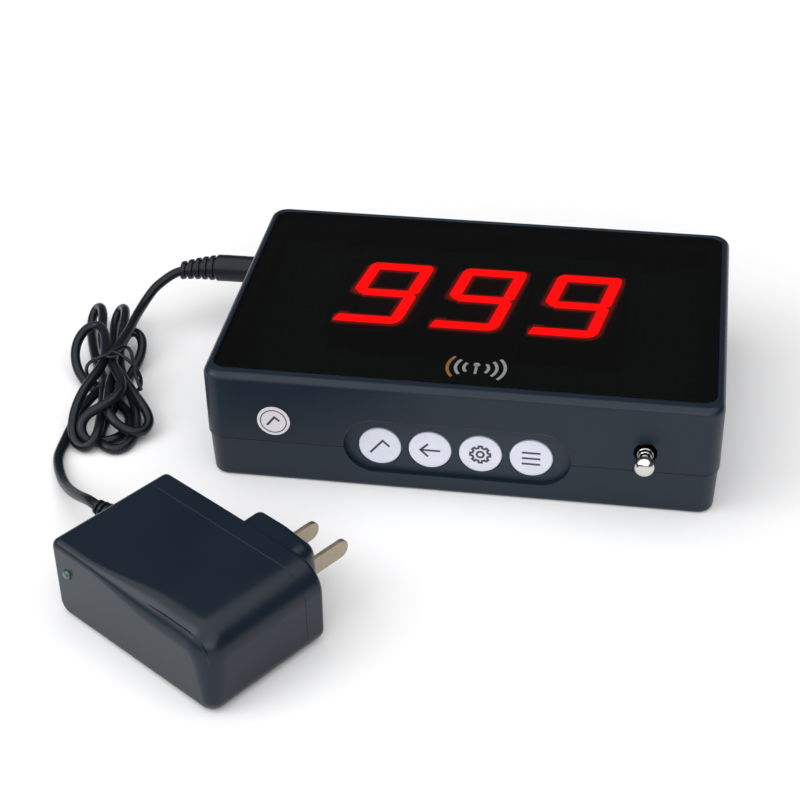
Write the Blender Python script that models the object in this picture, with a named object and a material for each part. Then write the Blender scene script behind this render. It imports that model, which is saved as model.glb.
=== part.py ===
"""Wireless call display lying on its back, with its plug-in power supply.

Metres, +Z up. The origin is the middle of the flat back cover, which rests on the
table. The window looks up, the keys and the aerial are on the -Y wall, and the
power lead leaves the -X wall. The box is two ABS shells held by four screws.
"""

import math

import bmesh
import bpy
from mathutils import Matrix, Vector

# ---- driving dimensions --------------------------------------------------

CLEARANCE = 0.0003          # between pieces that touch

CASE_WIDTH = 0.168
CASE_DEPTH = 0.113
CASE_HEIGHT = 0.041
SEAM_HEIGHT = 0.0159
WALL = 0.0024
ROOF_LEDGE = 0.0015
FLOOR_THICKNESS = 0.0022
CORNER_RADIUS = 0.006
TOP_ROUND = 0.003
BOTTOM_ROUND = 0.0015
LOWER_SHELL_INSET = 0.0004
LOWER_SHELL_DRAFT = 0.0006

WINDOW_SIDE_BORDER = 0.003
WINDOW_FRONT_BORDER = 0.005
WINDOW_REAR_BORDER = 0.0035
WINDOW_THICKNESS = 0.002
WINDOW_RECESS = 0.0002
WINDOW_CORNER_RADIUS = 0.0045
VIEW_MARGIN = 0.004         # ledge under the window's edge

BOSS_DIAMETER = 0.007
POST_DIAMETER = 0.009
FRONT_BOSS_INSET = 0.008
REAR_BOSS_INSET_X = 0.026
SCREW_SHANK_DIAMETER = 0.0026
SCREW_HOLE_DIAMETER = 0.0032
SCREW_HEAD_DIAMETER = 0.0055
SCREW_HEAD_HEIGHT = 0.002
SCREW_LENGTH = 0.022
SCREW_HEAD_DEPTH = 0.0012
COUNTERBORE_DIAMETER = 0.0062

DIGIT_COUNT = 3
DIGIT_ROW_X = -0.0002
DIGIT_ROW_Y = 0.0055
DIGIT_HEIGHT = 0.0389
DIGIT_WIDTH = 0.0222
DIGIT_SLANT = math.radians(10)
DIGIT_SIDE_MARGIN = 0.00515     # digit to its housing's side
DIGIT_END_MARGIN = 0.0043
DIGIT_SPACING = 0.0008          # between two housings
DIGIT_BODY_HEIGHT = 0.008
DIFFUSER_INSET = 0.00075        # housing's edge to the diffuser plate
SEGMENT_WIDTH = 0.0038
SEGMENT_GAP = 0.0003
SEGMENT_RISE = 0.0006
SEGMENT_PLATE = 0.0005

BOARD_THICKNESS = 0.0016
BOARD_EDGE_GAP = 0.0035
BOARD_FRONT_GAP = 0.0155    # room for the keypad in front of the board

PAD_X = -0.0003
PAD_FLOOR_GAP = 0.0012         # panel's lower edge above the floor
PAD_END_MARGIN = 0.00529        # outer key to the end of the opening
PAD_EDGE_MARGIN = 0.0033
PAD_LIP = 0.003
PAD_THICKNESS = 0.0015
KEY_NAMES = ("enter", "move", "set", "function")
KEY_ROW_X = -0.0010
KEY_DROP = 0.001                # the key row sits below the opening's middle
KEY_DIAMETER = 0.014
KEY_SPACING = 0.00054           # between two flanges
KEY_GAP = 0.0003
KEY_PROUD = 0.0003
KEY_FLANGE = 0.001          # how far the flange behind the pad stands out
KEY_FLANGE_THICKNESS = 0.0008
KEY_TRAVEL = 0.0005
PLUNGER_DIAMETER = 0.0034
PLUNGER_LENGTH = 0.0037
PLUNGER_DEPTH = 0.002       # how deep it sits in the switch at rest
SWITCH_SIZE = 0.0062
SWITCH_HEIGHT = 0.0036
KEY_BOARD_HEIGHT = 0.0165

CHIP_PLACE = (-0.014, 0.008)
CHIP_SIZE = (0.026, 0.0075, 0.0032)
RECEIVER_PLACE = (0.029, -0.019)
RECEIVER_SIZE = (0.030, 0.018, 0.003)
SMOOTHING_PLACE = (-0.052, 0.036)
SMOOTHING_RADIUS = 0.004
SMOOTHING_HEIGHT = 0.0115
SOUNDER_PLACE = (-0.050, -0.020)
SOUNDER_RADIUS = 0.006
SOUNDER_HEIGHT = 0.009
SOUNDER_MOUTH_RADIUS = 0.0013
SOUNDER_MOUTH_DEPTH = 0.003

STICKER_DIAMETER = 0.011
STICKER_X_INSET = 0.0237
STICKER_RISE = 0.0086           # above the seam

AERIAL_X_INSET = 0.0238
AERIAL_DROP = 0.0037        # board's underside to the aerial's axis
AERIAL_HOLE_DIAMETER = 0.0072
AERIAL_OUTER_DIAMETERS = (0.0054, 0.0043, 0.0032, 0.0021)
AERIAL_WALL = 0.0003
AERIAL_TUBE_LENGTH = 0.0900
AERIAL_STEP = 0.0011        # how far each closed section stands out of the last
AERIAL_TIP_DIAMETER = 0.0068
AERIAL_TIP_LENGTH = 0.0050

JACK_Y_INSET = 0.0127
JACK_DROP = 0.0068          # board's underside to the jack's axis
JACK_NOSE_DIAMETER = 0.0078
JACK_BORE_DIAMETER = 0.0062
JACK_BODY_LENGTH = 0.013
JACK_BODY_WIDTH = 0.009
JACK_BORE_DEPTH = 0.0122
JACK_PIN_DIAMETER = 0.0020
PLUG_BARREL_OUTER = 0.0055
PLUG_BARREL_INNER = 0.0026
PLUG_BARREL_LENGTH = 0.0095
PLUG_BODY_DIAMETER = 0.010
PLUG_BODY_LENGTH = 0.020
PLUG_RIB_COUNT = 5
PLUG_RIB_PITCH = 0.0027
PLUG_RIB_DEPTH = 0.0009
PLUG_END_DIAMETER = 0.0069

CORD_DIAMETER = 0.0035
HANK_HEIGHT = 0.014

ADAPTER_LENGTH = 0.070
ADAPTER_DEPTH = 0.0375
ADAPTER_HEIGHT = 0.028
ADAPTER_WALL = 0.002
ADAPTER_ROUND = 0.003
ADAPTER_TURN = math.radians(-34)
COVER_DEPTH = 0.0075
NOSE_START = 0.0355
NOSE_WIDTH = 0.0257
NOSE_DEPTH = 0.007
BLADE_SPACING = 0.0127
BLADE_CENTRE = 0.0491       # from the adaptor's cord end
BLADE_WIDTH = 0.00635
BLADE_THICKNESS = 0.0015
BLADE_OUT = 0.0165
BLADE_IN = 0.016
RELIEF_LENGTH = 0.0155
RELIEF_V = 0.0295
RELIEF_DIAMETER = 0.009
RELIEF_END_DIAMETER = 0.0052
LED_U = 0.0072
LED_Z = 0.018
LED_DIAMETER = 0.003
LED_LENGTH = 0.006
ADAPTER_BOARD_TOP = 0.0066
ADAPTER_BOARD_GAP = 0.003
ADAPTER_BOARD_DEPTH = 0.016
TRANSFORMER_LOW = (0.032, 0.0095)
TRANSFORMER_HIGH = (0.050, 0.0235)
FILTER_PLACE = (0.0585, 0.0165)
FILTER_RADIUS = 0.005
ADAPTER_PARTS_TOP = 0.0225

# ---- places worked out from them -----------------------------------------

RIGHT = CASE_WIDTH / 2
LEFT = -RIGHT
REAR = CASE_DEPTH / 2
FRONT = -REAR
INSIDE_FRONT = FRONT + WALL

WINDOW_TOP = CASE_HEIGHT - WINDOW_RECESS
WINDOW_BOTTOM = WINDOW_TOP - WINDOW_THICKNESS
LEDGE_TOP = WINDOW_BOTTOM - CLEARANCE
ROOF_BOTTOM = LEDGE_TOP - ROOF_LEDGE
WINDOW_WIDTH = CASE_WIDTH - 2 * WINDOW_SIDE_BORDER
WINDOW_DEPTH = CASE_DEPTH - WINDOW_FRONT_BORDER - WINDOW_REAR_BORDER
WINDOW_Y = (WINDOW_FRONT_BORDER - WINDOW_REAR_BORDER) / 2

DIGIT_BODY_WIDTH = DIGIT_WIDTH + 2 * DIGIT_SIDE_MARGIN
DIGIT_BODY_DEPTH = DIGIT_HEIGHT + 2 * DIGIT_END_MARGIN
DIGIT_PITCH = DIGIT_BODY_WIDTH + DIGIT_SPACING
SEGMENT_TOP = WINDOW_BOTTOM - 2 * CLEARANCE
SEGMENT_PLATE_BOTTOM = SEGMENT_TOP - SEGMENT_RISE - SEGMENT_PLATE
DIGIT_BODY_TOP = SEGMENT_PLATE_BOTTOM - CLEARANCE
BOARD_TOP = DIGIT_BODY_TOP - DIGIT_BODY_HEIGHT - CLEARANCE
BOARD_BOTTOM = BOARD_TOP - BOARD_THICKNESS
BELOW_BOARD = BOARD_BOTTOM - CLEARANCE

BOSSES = (
    (LEFT + FRONT_BOSS_INSET, FRONT + FRONT_BOSS_INSET),
    (RIGHT - FRONT_BOSS_INSET, FRONT + FRONT_BOSS_INSET),
    (LEFT + REAR_BOSS_INSET_X, REAR - FRONT_BOSS_INSET),
    (RIGHT - REAR_BOSS_INSET_X, REAR - FRONT_BOSS_INSET),
)

KEY_PITCH = KEY_DIAMETER + 2 * KEY_FLANGE + KEY_SPACING
KEY_ROW_LENGTH = (len(KEY_NAMES) - 1) * KEY_PITCH + KEY_DIAMETER
PAD_WIDTH = KEY_ROW_LENGTH + 2 * PAD_END_MARGIN
PAD_HEIGHT = KEY_DIAMETER + 2 * PAD_EDGE_MARGIN
PAD_Z = FLOOR_THICKNESS + PAD_FLOOR_GAP + PAD_LIP + PAD_HEIGHT / 2
KEY_Z = PAD_Z - KEY_DROP
PAD_FACE = INSIDE_FRONT + CLEARANCE
PAD_BACK = PAD_FACE + PAD_THICKNESS
KEY_BACK = PAD_BACK + CLEARANCE + KEY_FLANGE_THICKNESS
PLUNGER_FRONT = KEY_BACK + CLEARANCE
PLUNGER_BACK = PLUNGER_FRONT + PLUNGER_LENGTH
SWITCH_FRONT = PLUNGER_BACK - PLUNGER_DEPTH
SWITCH_BACK = SWITCH_FRONT + SWITCH_HEIGHT
SWITCH_BORE_FLOOR = PLUNGER_BACK + KEY_TRAVEL + CLEARANCE
KEY_BOARD_FRONT = SWITCH_BACK + CLEARANCE

AERIAL_X = RIGHT - AERIAL_X_INSET
AERIAL_Z = BOARD_BOTTOM - AERIAL_DROP
JACK_Y = REAR - JACK_Y_INSET
JACK_Z = BOARD_BOTTOM - JACK_DROP
PLUG_FACE = LEFT - CLEARANCE
PLUG_LENGTH = PLUG_BODY_LENGTH + PLUG_RIB_COUNT * PLUG_RIB_PITCH
PLUG_END = Vector((PLUG_FACE - PLUG_LENGTH, JACK_Y, JACK_Z))

ADAPTER_ORIGIN = Vector((PLUG_END.x + 0.0055, PLUG_END.y - 0.1726, 0.0))
ADAPTER_MATRIX = Matrix.Translation(ADAPTER_ORIGIN) @ Matrix.Rotation(ADAPTER_TURN, 4, "Z")
BLADE_Z = ADAPTER_HEIGHT / 2
COVER_START = ADAPTER_DEPTH + CLEARANCE
COVER_FACE = COVER_START + COVER_DEPTH
NOSE_FACE = COVER_FACE + NOSE_DEPTH
RELIEF_END = ADAPTER_MATRIX @ Vector((-CLEARANCE - RELIEF_LENGTH, RELIEF_V, BLADE_Z))

# The hank lies beside the box, its long way turned towards the adaptor.
HANK_LENGTH = 0.092
HANK_END_WIDTH = 0.036
HANK_WAIST_WIDTH = 0.026
HANK_MATRIX = (Matrix.Translation((PLUG_END.x - 0.0085, PLUG_END.y - 0.0583, 0.0))
               @ Matrix.Rotation(math.radians(17), 4, "Z"))
HANK_REACH = (HANK_LENGTH - HANK_END_WIDTH) / 2     # middle to the centre of an end
TIE_WIDTH = 0.003
TIE_THICKNESS = 0.0012

# The lead's free stretches, chosen by hand. The first is in steps from the plug's
# end, the second in steps from the centre of the hank's near end, with heights.
LEAD_FROM_PLUG = (
    (0.0, 0.0, 0.0),
    (-0.0016, 0.0, 0.0),
    (-0.0042, -0.0018, -0.0010),
    (-0.0066, -0.0058, -0.0030),
    (-0.0090, -0.0098, -0.0056),
    (-0.0106, -0.0125, -0.0074),
    (-0.0111, -0.0139, -0.0081),
)
LEAD_TO_ADAPTER = (
    (-0.0173, -0.0063, 0.0020),
    (-0.0183, -0.0071, 0.0020),
    (-0.0190, -0.0110, 0.0020),
    (-0.0185, -0.0157, 0.0020),
    (-0.0157, -0.0227, 0.0024),
    (-0.0103, -0.0327, 0.0042),
    (-0.0028, -0.0427, 0.0088),
    (0.0036, -0.0492, 0.0127),
)

EPS = 0.0005                # how far a cutter runs past what it cuts


# ---- materials ------------------------------------------------------------

def to_linear(channel):
    """One sRGB channel as a linear value."""
    if channel <= 0.04045:
        return channel / 12.92
    return ((channel + 0.055) / 1.055) ** 2.4


def material(name, colour, roughness, metallic=0.0, alpha=1.0):
    """A Principled material from an sRGB hex colour."""
    made = bpy.data.materials.new(name)
    made.use_nodes = True
    shader = made.node_tree.nodes["Principled BSDF"]
    channels = [to_linear(int(colour[i:i + 2], 16) / 255) for i in (1, 3, 5)]
    shader.inputs["Base Color"].default_value = (*channels, 1.0)
    shader.inputs["Roughness"].default_value = roughness
    shader.inputs["Metallic"].default_value = metallic
    shader.inputs["Alpha"].default_value = alpha
    return made


# ---- shared modelling steps -------------------------------------------------

def finish(mesh_data, name, surface, matrix=None):
    """Turn a bmesh into a named object with its material, shaded smooth."""
    bmesh.ops.recalc_face_normals(mesh_data, faces=mesh_data.faces)
    mesh = bpy.data.meshes.new(name)
    mesh_data.to_mesh(mesh)
    mesh_data.free()
    mesh.shade_smooth()
    mesh.set_sharp_from_angle(angle=math.radians(35))
    made = bpy.data.objects.new(name, mesh)
    bpy.context.scene.collection.objects.link(made)
    if surface:
        mesh.materials.append(surface)
    if matrix:
        made.matrix_world = matrix
    return made


def facing(x, y, z, direction):
    """Matrix that puts local +Z along -Y ('front') or -X ('left') at a place."""
    turn = {
        "up": Matrix.Identity(4),
        "front": Matrix.Rotation(math.radians(90), 4, "X"),
        "left": Matrix.Rotation(math.radians(-90), 4, "Y"),
    }[direction]
    return Matrix.Translation((x, y, z)) @ turn


def rounded_outline(width, depth, radius, steps=3, centre=(0.0, 0.0)):
    """Corners of a rounded rectangle, anticlockwise; a stadium at full radius."""
    points = []
    for corner, (sx, sy) in enumerate(((1, 1), (-1, 1), (-1, -1), (1, -1))):
        cx = centre[0] + sx * (width / 2 - radius)
        cy = centre[1] + sy * (depth / 2 - radius)
        for step in range(steps + 1):
            angle = math.pi / 2 * (corner + step / steps)
            points.append((cx + radius * math.cos(angle), cy + radius * math.sin(angle)))
    return points


def extrude_outline(outline, bottom, top):
    """A bmesh prism over an outline, with the edges of its top and bottom face."""
    made = bmesh.new()
    face = made.faces.new([made.verts.new((x, y, bottom)) for x, y in outline])
    bottom_edges = list(face.edges)
    result = bmesh.ops.extrude_face_region(made, geom=[face], use_keep_orig=True)
    raised = [item for item in result["geom"] if isinstance(item, bmesh.types.BMVert)]
    bmesh.ops.translate(made, verts=raised, vec=(0, 0, top - bottom))
    top_edges = [edge for edge in made.edges if all(vert in raised for vert in edge.verts)]
    return made, bottom_edges, top_edges


def round_edges(made, edges, radius, segments=2):
    bmesh.ops.bevel(made, geom=edges, offset=radius, offset_type="OFFSET",
                    segments=segments, profile=0.5, affect="EDGES", clamp_overlap=True)


def prism(name, outline, bottom, top, surface, matrix=None, top_round=0.0, segments=2):
    made, _, top_edges = extrude_outline(outline, bottom, top)
    if top_round:
        round_edges(made, top_edges, top_round, segments)
    return finish(made, name, surface, matrix)


def block(name, low, high, surface, matrix=None):
    """A plain box between two corners."""
    made = bmesh.new()
    bmesh.ops.create_cube(made, size=1.0)
    size = [b - a for a, b in zip(low, high)]
    middle = [(a + b) / 2 for a, b in zip(low, high)]
    bmesh.ops.scale(made, verts=made.verts, vec=size)
    bmesh.ops.translate(made, verts=made.verts, vec=middle)
    return finish(made, name, surface, matrix)


def turned(name, profile, surface, matrix=None, steps=16):
    """Spin a closed (radius, height) outline about local Z.

    A point at radius 0 lies on the axis; the doubles there are merged.
    """
    made = bmesh.new()
    verts = [made.verts.new((radius, 0.0, height)) for radius, height in profile]
    on_axis = profile[0][0] == 0 and profile[-1][0] == 0
    edges = [made.edges.new(pair) for pair in zip(verts, verts[1:])]
    if not on_axis:
        edges.append(made.edges.new((verts[-1], verts[0])))
    bmesh.ops.spin(made, geom=verts + edges, axis=(0, 0, 1), cent=(0, 0, 0),
                   angle=2 * math.pi, steps=steps, use_merge=True)
    bmesh.ops.remove_doubles(made, verts=made.verts, dist=1e-6)
    return finish(made, name, surface, matrix)


def rod(name, radius, bottom, top, surface, matrix=None, steps=16):
    return turned(name, [(0, bottom), (radius, bottom), (radius, top), (0, top)],
                  surface, matrix, steps)


def pipe(name, outer, inner, bottom, top, surface, matrix=None, steps=16):
    return turned(name, [(inner, bottom), (outer, bottom), (outer, top), (inner, top)],
                  surface, matrix, steps)


def combine(target, tool, operation="DIFFERENCE"):
    """Cut a piece with a tool, or weld the tool on, and keep the tool as a guide."""
    tool.hide_render = True
    tool.display_type = "WIRE"
    step = target.modifiers.new(tool.name, "BOOLEAN")
    step.operation = operation
    step.object = tool
    step.solver = "EXACT"


def weld(target, tool):
    combine(target, tool, "UNION")


# ---- the two shells -------------------------------------------------------------

def upper_shell(abs_plastic, cutters):
    """Cover with the window's pocket, ledge and four screw bosses."""
    bottom = SEAM_HEIGHT + CLEARANCE / 2
    shell = prism("upper_shell", rounded_outline(CASE_WIDTH, CASE_DEPTH, CORNER_RADIUS, 4),
                  bottom, CASE_HEIGHT, abs_plastic, top_round=TOP_ROUND - WINDOW_RECESS, segments=3)
    combine(shell, prism("cut_upper_cavity",
                         rounded_outline(CASE_WIDTH - 2 * WALL, CASE_DEPTH - 2 * WALL,
                                         CORNER_RADIUS - WALL),
                         bottom - EPS, ROOF_BOTTOM, None))
    pocket_width = WINDOW_WIDTH + 2 * CLEARANCE
    pocket_depth = WINDOW_DEPTH + 2 * CLEARANCE
    combine(shell, prism("cut_window_pocket",
                         rounded_outline(pocket_width, pocket_depth, WINDOW_CORNER_RADIUS,
                                         4, (0.0, WINDOW_Y)),
                         LEDGE_TOP, CASE_HEIGHT + EPS, None))
    combine(shell, prism("cut_view",
                         rounded_outline(WINDOW_WIDTH - 2 * VIEW_MARGIN,
                                         WINDOW_DEPTH - 2 * VIEW_MARGIN, 0.002, 2, (0.0, WINDOW_Y)),
                         ROOF_BOTTOM - EPS, LEDGE_TOP + EPS, None))
    for number, (x, y) in enumerate(BOSSES, 1):
        place = facing(x, y, 0, "up")
        weld(shell, rod(f"add_boss_{number}", BOSS_DIAMETER / 2, bottom,
                        (ROOF_BOTTOM + LEDGE_TOP) / 2, None, place))
        combine(shell, rod(f"cut_pilot_{number}", SCREW_HOLE_DIAMETER / 2, bottom - EPS,
                           SCREW_HEAD_DEPTH + SCREW_HEAD_HEIGHT + SCREW_LENGTH + 0.001,
                           None, place, 10))
    for cutter in cutters:
        combine(shell, cutter)


def lower_shell(abs_plastic, cutters):
    """Tray with a flat base, drawn in a little towards it, and four screw posts."""
    top = SEAM_HEIGHT - CLEARANCE / 2
    width = CASE_WIDTH - 2 * LOWER_SHELL_INSET
    depth = CASE_DEPTH - 2 * LOWER_SHELL_INSET
    outline = rounded_outline(width, depth, CORNER_RADIUS, 4)
    made, bottom_edges, _ = extrude_outline(outline, 0.0, top)
    base = {vert for edge in bottom_edges for vert in edge.verts}
    for vert in base:
        vert.co.x *= 1 - 2 * LOWER_SHELL_DRAFT / width
        vert.co.y *= 1 - 2 * LOWER_SHELL_DRAFT / depth
    round_edges(made, bottom_edges, BOTTOM_ROUND)
    shell = finish(made, "lower_shell", abs_plastic)
    combine(shell, prism("cut_lower_cavity",
                         rounded_outline(CASE_WIDTH - 2 * WALL, CASE_DEPTH - 2 * WALL,
                                         CORNER_RADIUS - WALL),
                         FLOOR_THICKNESS, top + EPS, None))
    for number, (x, y) in enumerate(BOSSES, 1):
        place = facing(x, y, 0, "up")
        weld(shell, rod(f"add_post_{number}", POST_DIAMETER / 2, FLOOR_THICKNESS / 2, top,
                        None, place))
        combine(shell, rod(f"cut_through_{number}", SCREW_HOLE_DIAMETER / 2, -EPS, top + EPS,
                           None, place, 10))
        combine(shell, rod(f"cut_counterbore_{number}", COUNTERBORE_DIAMETER / 2, -EPS,
                           SCREW_HEAD_DEPTH + SCREW_HEAD_HEIGHT + CLEARANCE, None, place, 12))
    for cutter in cutters:
        combine(shell, cutter)


def case_screws(steel):
    head = SCREW_HEAD_DIAMETER / 2
    shank = SCREW_SHANK_DIAMETER / 2
    shoulder = SCREW_HEAD_DEPTH + SCREW_HEAD_HEIGHT
    profile = [(0, SCREW_HEAD_DEPTH + 0.0008), (0.0009, SCREW_HEAD_DEPTH),
               (head * 0.75, SCREW_HEAD_DEPTH), (head, SCREW_HEAD_DEPTH + 0.0008),
               (head, shoulder), (shank, shoulder),
               (shank, shoulder + SCREW_LENGTH - 0.002), (0, shoulder + SCREW_LENGTH)]
    for number, (x, y) in enumerate(BOSSES, 1):
        turned(f"case_screw_{number}", profile, steel, facing(x, y, 0, "up"), 12)


def wall_cutters():
    """Openings in the side walls; each is offered to both shells."""
    pad = prism("cut_keypad", rounded_outline(PAD_WIDTH, PAD_HEIGHT, PAD_HEIGHT / 2, 8),
                -WALL - LOWER_SHELL_INSET - EPS, EPS, None, facing(PAD_X, FRONT, PAD_Z, "front"))
    aerial = rod("cut_aerial", AERIAL_HOLE_DIAMETER / 2, -WALL - EPS, EPS, None,
                 facing(AERIAL_X, FRONT, AERIAL_Z, "front"), 20)
    jack = rod("cut_jack", JACK_NOSE_DIAMETER / 2 + CLEARANCE, -WALL - EPS, EPS, None,
               facing(LEFT, JACK_Y, JACK_Z, "left"), 20)
    return pad, aerial, jack


# ---- window, digits and board ------------------------------------------------------

def display_window(acrylic):
    prism("display_window",
          rounded_outline(WINDOW_WIDTH, WINDOW_DEPTH, WINDOW_CORNER_RADIUS, 4, (0.0, WINDOW_Y)),
          WINDOW_BOTTOM, WINDOW_TOP, acrylic)


def slant(x, y):
    return (x + y * math.tan(DIGIT_SLANT), y)


def segment_outlines():
    """The seven bars of one digit about its middle, as slanted outlines."""
    half_w, half_h, wide = DIGIT_WIDTH / 2, DIGIT_HEIGHT / 2, SEGMENT_WIDTH
    gap, mid = SEGMENT_GAP, SEGMENT_WIDTH / 2
    across = [(-half_w + gap, half_h), (half_w - gap, half_h),
              (half_w - gap - wide, half_h - wide), (-half_w + gap + wide, half_h - wide)]
    upright = [(half_w, half_h - gap), (half_w, gap), (half_w - mid, gap),
               (half_w - wide, mid + gap), (half_w - wide, half_h - gap - wide)]
    middle = [(-half_w + mid + gap, 0), (-half_w + wide, mid), (half_w - wide, mid),
              (half_w - mid - gap, 0), (half_w - wide, -mid), (-half_w + wide, -mid)]
    bars = [across, [(x, -y) for x, y in across], middle]
    for sx in (1, -1):
        for sy in (1, -1):
            bars.append([(sx * x, sy * y) for x, y in upright])
    return [[slant(x, y) for x, y in bar] for bar in bars]


def digits(housing_plastic, diffuser):
    """Each digit is a black housing with a lit diffuser: a plate with seven raised bars."""
    for index in range(DIGIT_COUNT):
        x = DIGIT_ROW_X + (index - (DIGIT_COUNT - 1) / 2) * DIGIT_PITCH
        outline = rounded_outline(DIGIT_BODY_WIDTH, DIGIT_BODY_DEPTH, 0.0005, 1)
        place = facing(x, DIGIT_ROW_Y, 0, "up")
        prism(f"digit_{index + 1}_housing", outline, BOARD_TOP + CLEARANCE, DIGIT_BODY_TOP,
              housing_plastic, place)
        plate = rounded_outline(DIGIT_BODY_WIDTH - 2 * DIFFUSER_INSET,
                                DIGIT_BODY_DEPTH - 4 * DIFFUSER_INSET, 0.0005, 1)
        lit = prism(f"digit_{index + 1}_segments", plate, SEGMENT_PLATE_BOTTOM,
                    SEGMENT_TOP - SEGMENT_RISE, diffuser, place)
        for number, bar in enumerate(segment_outlines(), 1):
            weld(lit, prism(f"add_bar_{index + 1}_{number}", bar,
                            SEGMENT_TOP - SEGMENT_RISE - SEGMENT_PLATE / 2, SEGMENT_TOP, None, place))


def main_board(laminate):
    board_front = FRONT + BOARD_FRONT_GAP
    board_rear = REAR - BOARD_EDGE_GAP
    width = CASE_WIDTH - 2 * (WALL + BOARD_EDGE_GAP)
    middle = (0.0, (board_front + board_rear) / 2)
    board = prism("main_board", rounded_outline(width, board_rear - board_front, 0.001, 1, middle),
                  BOARD_BOTTOM, BOARD_TOP, laminate)
    for number, (x, y) in enumerate(BOSSES[2:], 1):
        combine(board, rod(f"cut_board_{number}", BOSS_DIAMETER / 2 + 2 * CLEARANCE,
                           BOARD_BOTTOM - EPS, BOARD_TOP + EPS, None, facing(x, y, 0, "up")))


def board_parts(black, can, silver, epoxy):
    """What hangs under the board, clear of the aerial and the jack."""
    prism("controller_chip", rounded_outline(CHIP_SIZE[0], CHIP_SIZE[1], 0.0003, 1, CHIP_PLACE),
          BELOW_BOARD - CHIP_SIZE[2], BELOW_BOARD, black)
    prism("receiver_module",
          rounded_outline(RECEIVER_SIZE[0], RECEIVER_SIZE[1], 0.0005, 1, RECEIVER_PLACE),
          BELOW_BOARD - RECEIVER_SIZE[2], BELOW_BOARD, epoxy)
    rod("power_capacitor", SMOOTHING_RADIUS, BELOW_BOARD - SMOOTHING_HEIGHT, BELOW_BOARD,
        silver, facing(*SMOOTHING_PLACE, 0, "up"), 16)
    mouth = BELOW_BOARD - SOUNDER_HEIGHT
    outline = [(0, BELOW_BOARD), (SOUNDER_RADIUS, BELOW_BOARD), (SOUNDER_RADIUS, mouth),
               (SOUNDER_MOUTH_RADIUS, mouth), (SOUNDER_MOUTH_RADIUS, mouth + SOUNDER_MOUTH_DEPTH),
               (0, mouth + SOUNDER_MOUTH_DEPTH)]
    turned("sounder", outline, can, facing(*SOUNDER_PLACE, 0, "up"), 16)


# ---- keypad --------------------------------------------------------------------------

def key_positions():
    for index, name in enumerate(KEY_NAMES):
        yield name, KEY_ROW_X + (index - (len(KEY_NAMES) - 1) / 2) * KEY_PITCH


def keypad(panel_plastic, key_plastic, laminate, black, plunger_plastic):
    """Panel behind the stadium opening, four keys, their switches and a small board."""
    width = PAD_WIDTH + 2 * PAD_LIP
    height = PAD_HEIGHT + 2 * PAD_LIP
    panel = prism("keypad_panel", rounded_outline(width, height, height / 2, 6),
                  -PAD_THICKNESS, 0.0, panel_plastic, facing(PAD_X, PAD_FACE, PAD_Z, "front"))
    radius = KEY_DIAMETER / 2
    flange = radius + KEY_FLANGE
    for name, x in key_positions():
        place = facing(x, PAD_FACE, KEY_Z, "front")
        combine(panel, rod(f"cut_{name}_hole", radius + KEY_GAP, -PAD_THICKNESS - EPS, EPS,
                           None, place, 24))
        back = PAD_FACE - KEY_BACK
        shoulder = back + KEY_FLANGE_THICKNESS
        turned(f"{name}_key", [(0, back), (flange, back), (flange, shoulder), (radius, shoulder),
                               (radius, KEY_PROUD), (0, KEY_PROUD)], key_plastic, place, 24)
        rod(f"{name}_plunger", PLUNGER_DIAMETER / 2, PAD_FACE - PLUNGER_BACK,
            PAD_FACE - PLUNGER_FRONT, plunger_plastic, place, 12)
        half = SWITCH_SIZE / 2
        switch = block(f"{name}_switch", (-half, -half, PAD_FACE - SWITCH_BACK),
                       (half, half, PAD_FACE - SWITCH_FRONT), black, place)
        combine(switch, rod(f"cut_{name}_bore", PLUNGER_DIAMETER / 2 + CLEARANCE,
                            PAD_FACE - SWITCH_BORE_FLOOR, PAD_FACE - SWITCH_FRONT + EPS,
                            None, place, 12))
    board = rounded_outline(PAD_WIDTH, KEY_BOARD_HEIGHT, 0.001, 1)
    prism("key_board", board, -BOARD_THICKNESS, 0.0, laminate,
          facing(PAD_X, KEY_BOARD_FRONT, KEY_Z, "front"))


def inspection_sticker(paper):
    rod("inspection_sticker", STICKER_DIAMETER / 2, CLEARANCE, 2 * CLEARANCE, paper,
        facing(LEFT + STICKER_X_INSET, FRONT, SEAM_HEIGHT + STICKER_RISE, "front"), 24)


# ---- telescopic aerial --------------------------------------------------------------

def aerial(chrome, black):
    """A fixed outer tube, two sliding tubes and a rod with its mushroom tip."""
    place = facing(AERIAL_X, FRONT, AERIAL_Z, "front")
    names = ("aerial_outer_tube", "aerial_section_2", "aerial_section_3")
    for index, name in enumerate(names):
        mouth = AERIAL_STEP * (index + 1)
        outer = AERIAL_OUTER_DIAMETERS[index] / 2
        pipe(name, outer, outer - AERIAL_WALL, mouth - AERIAL_TUBE_LENGTH, mouth, chrome, place)
    end = AERIAL_STEP * (len(names) + 1)
    core = AERIAL_OUTER_DIAMETERS[-1] / 2
    tip = AERIAL_TIP_DIAMETER / 2
    profile = [(0, end - AERIAL_TUBE_LENGTH), (core, end - AERIAL_TUBE_LENGTH), (core, end),
               (tip * 0.62, end + 0.0004), (tip * 0.93, end + 0.0014), (tip, end + 0.0026),
               (tip * 0.86, end + 0.0039), (tip * 0.5, end + 0.0048), (0, end + AERIAL_TIP_LENGTH)]
    turned("aerial_rod_and_tip", profile, chrome, place)
    half = AERIAL_OUTER_DIAMETERS[0] / 2 + 0.0025
    inner_end = AERIAL_STEP - AERIAL_TUBE_LENGTH
    bracket = block("aerial_bracket", (-half, -half, inner_end + 0.008),
                    (half, BELOW_BOARD - AERIAL_Z, inner_end + 0.016), black, place)
    combine(bracket, rod("cut_bracket", AERIAL_OUTER_DIAMETERS[0] / 2 + CLEARANCE,
                         inner_end, inner_end + 0.03, None, place))


# ---- power inlet and plug --------------------------------------------------------------

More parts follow.
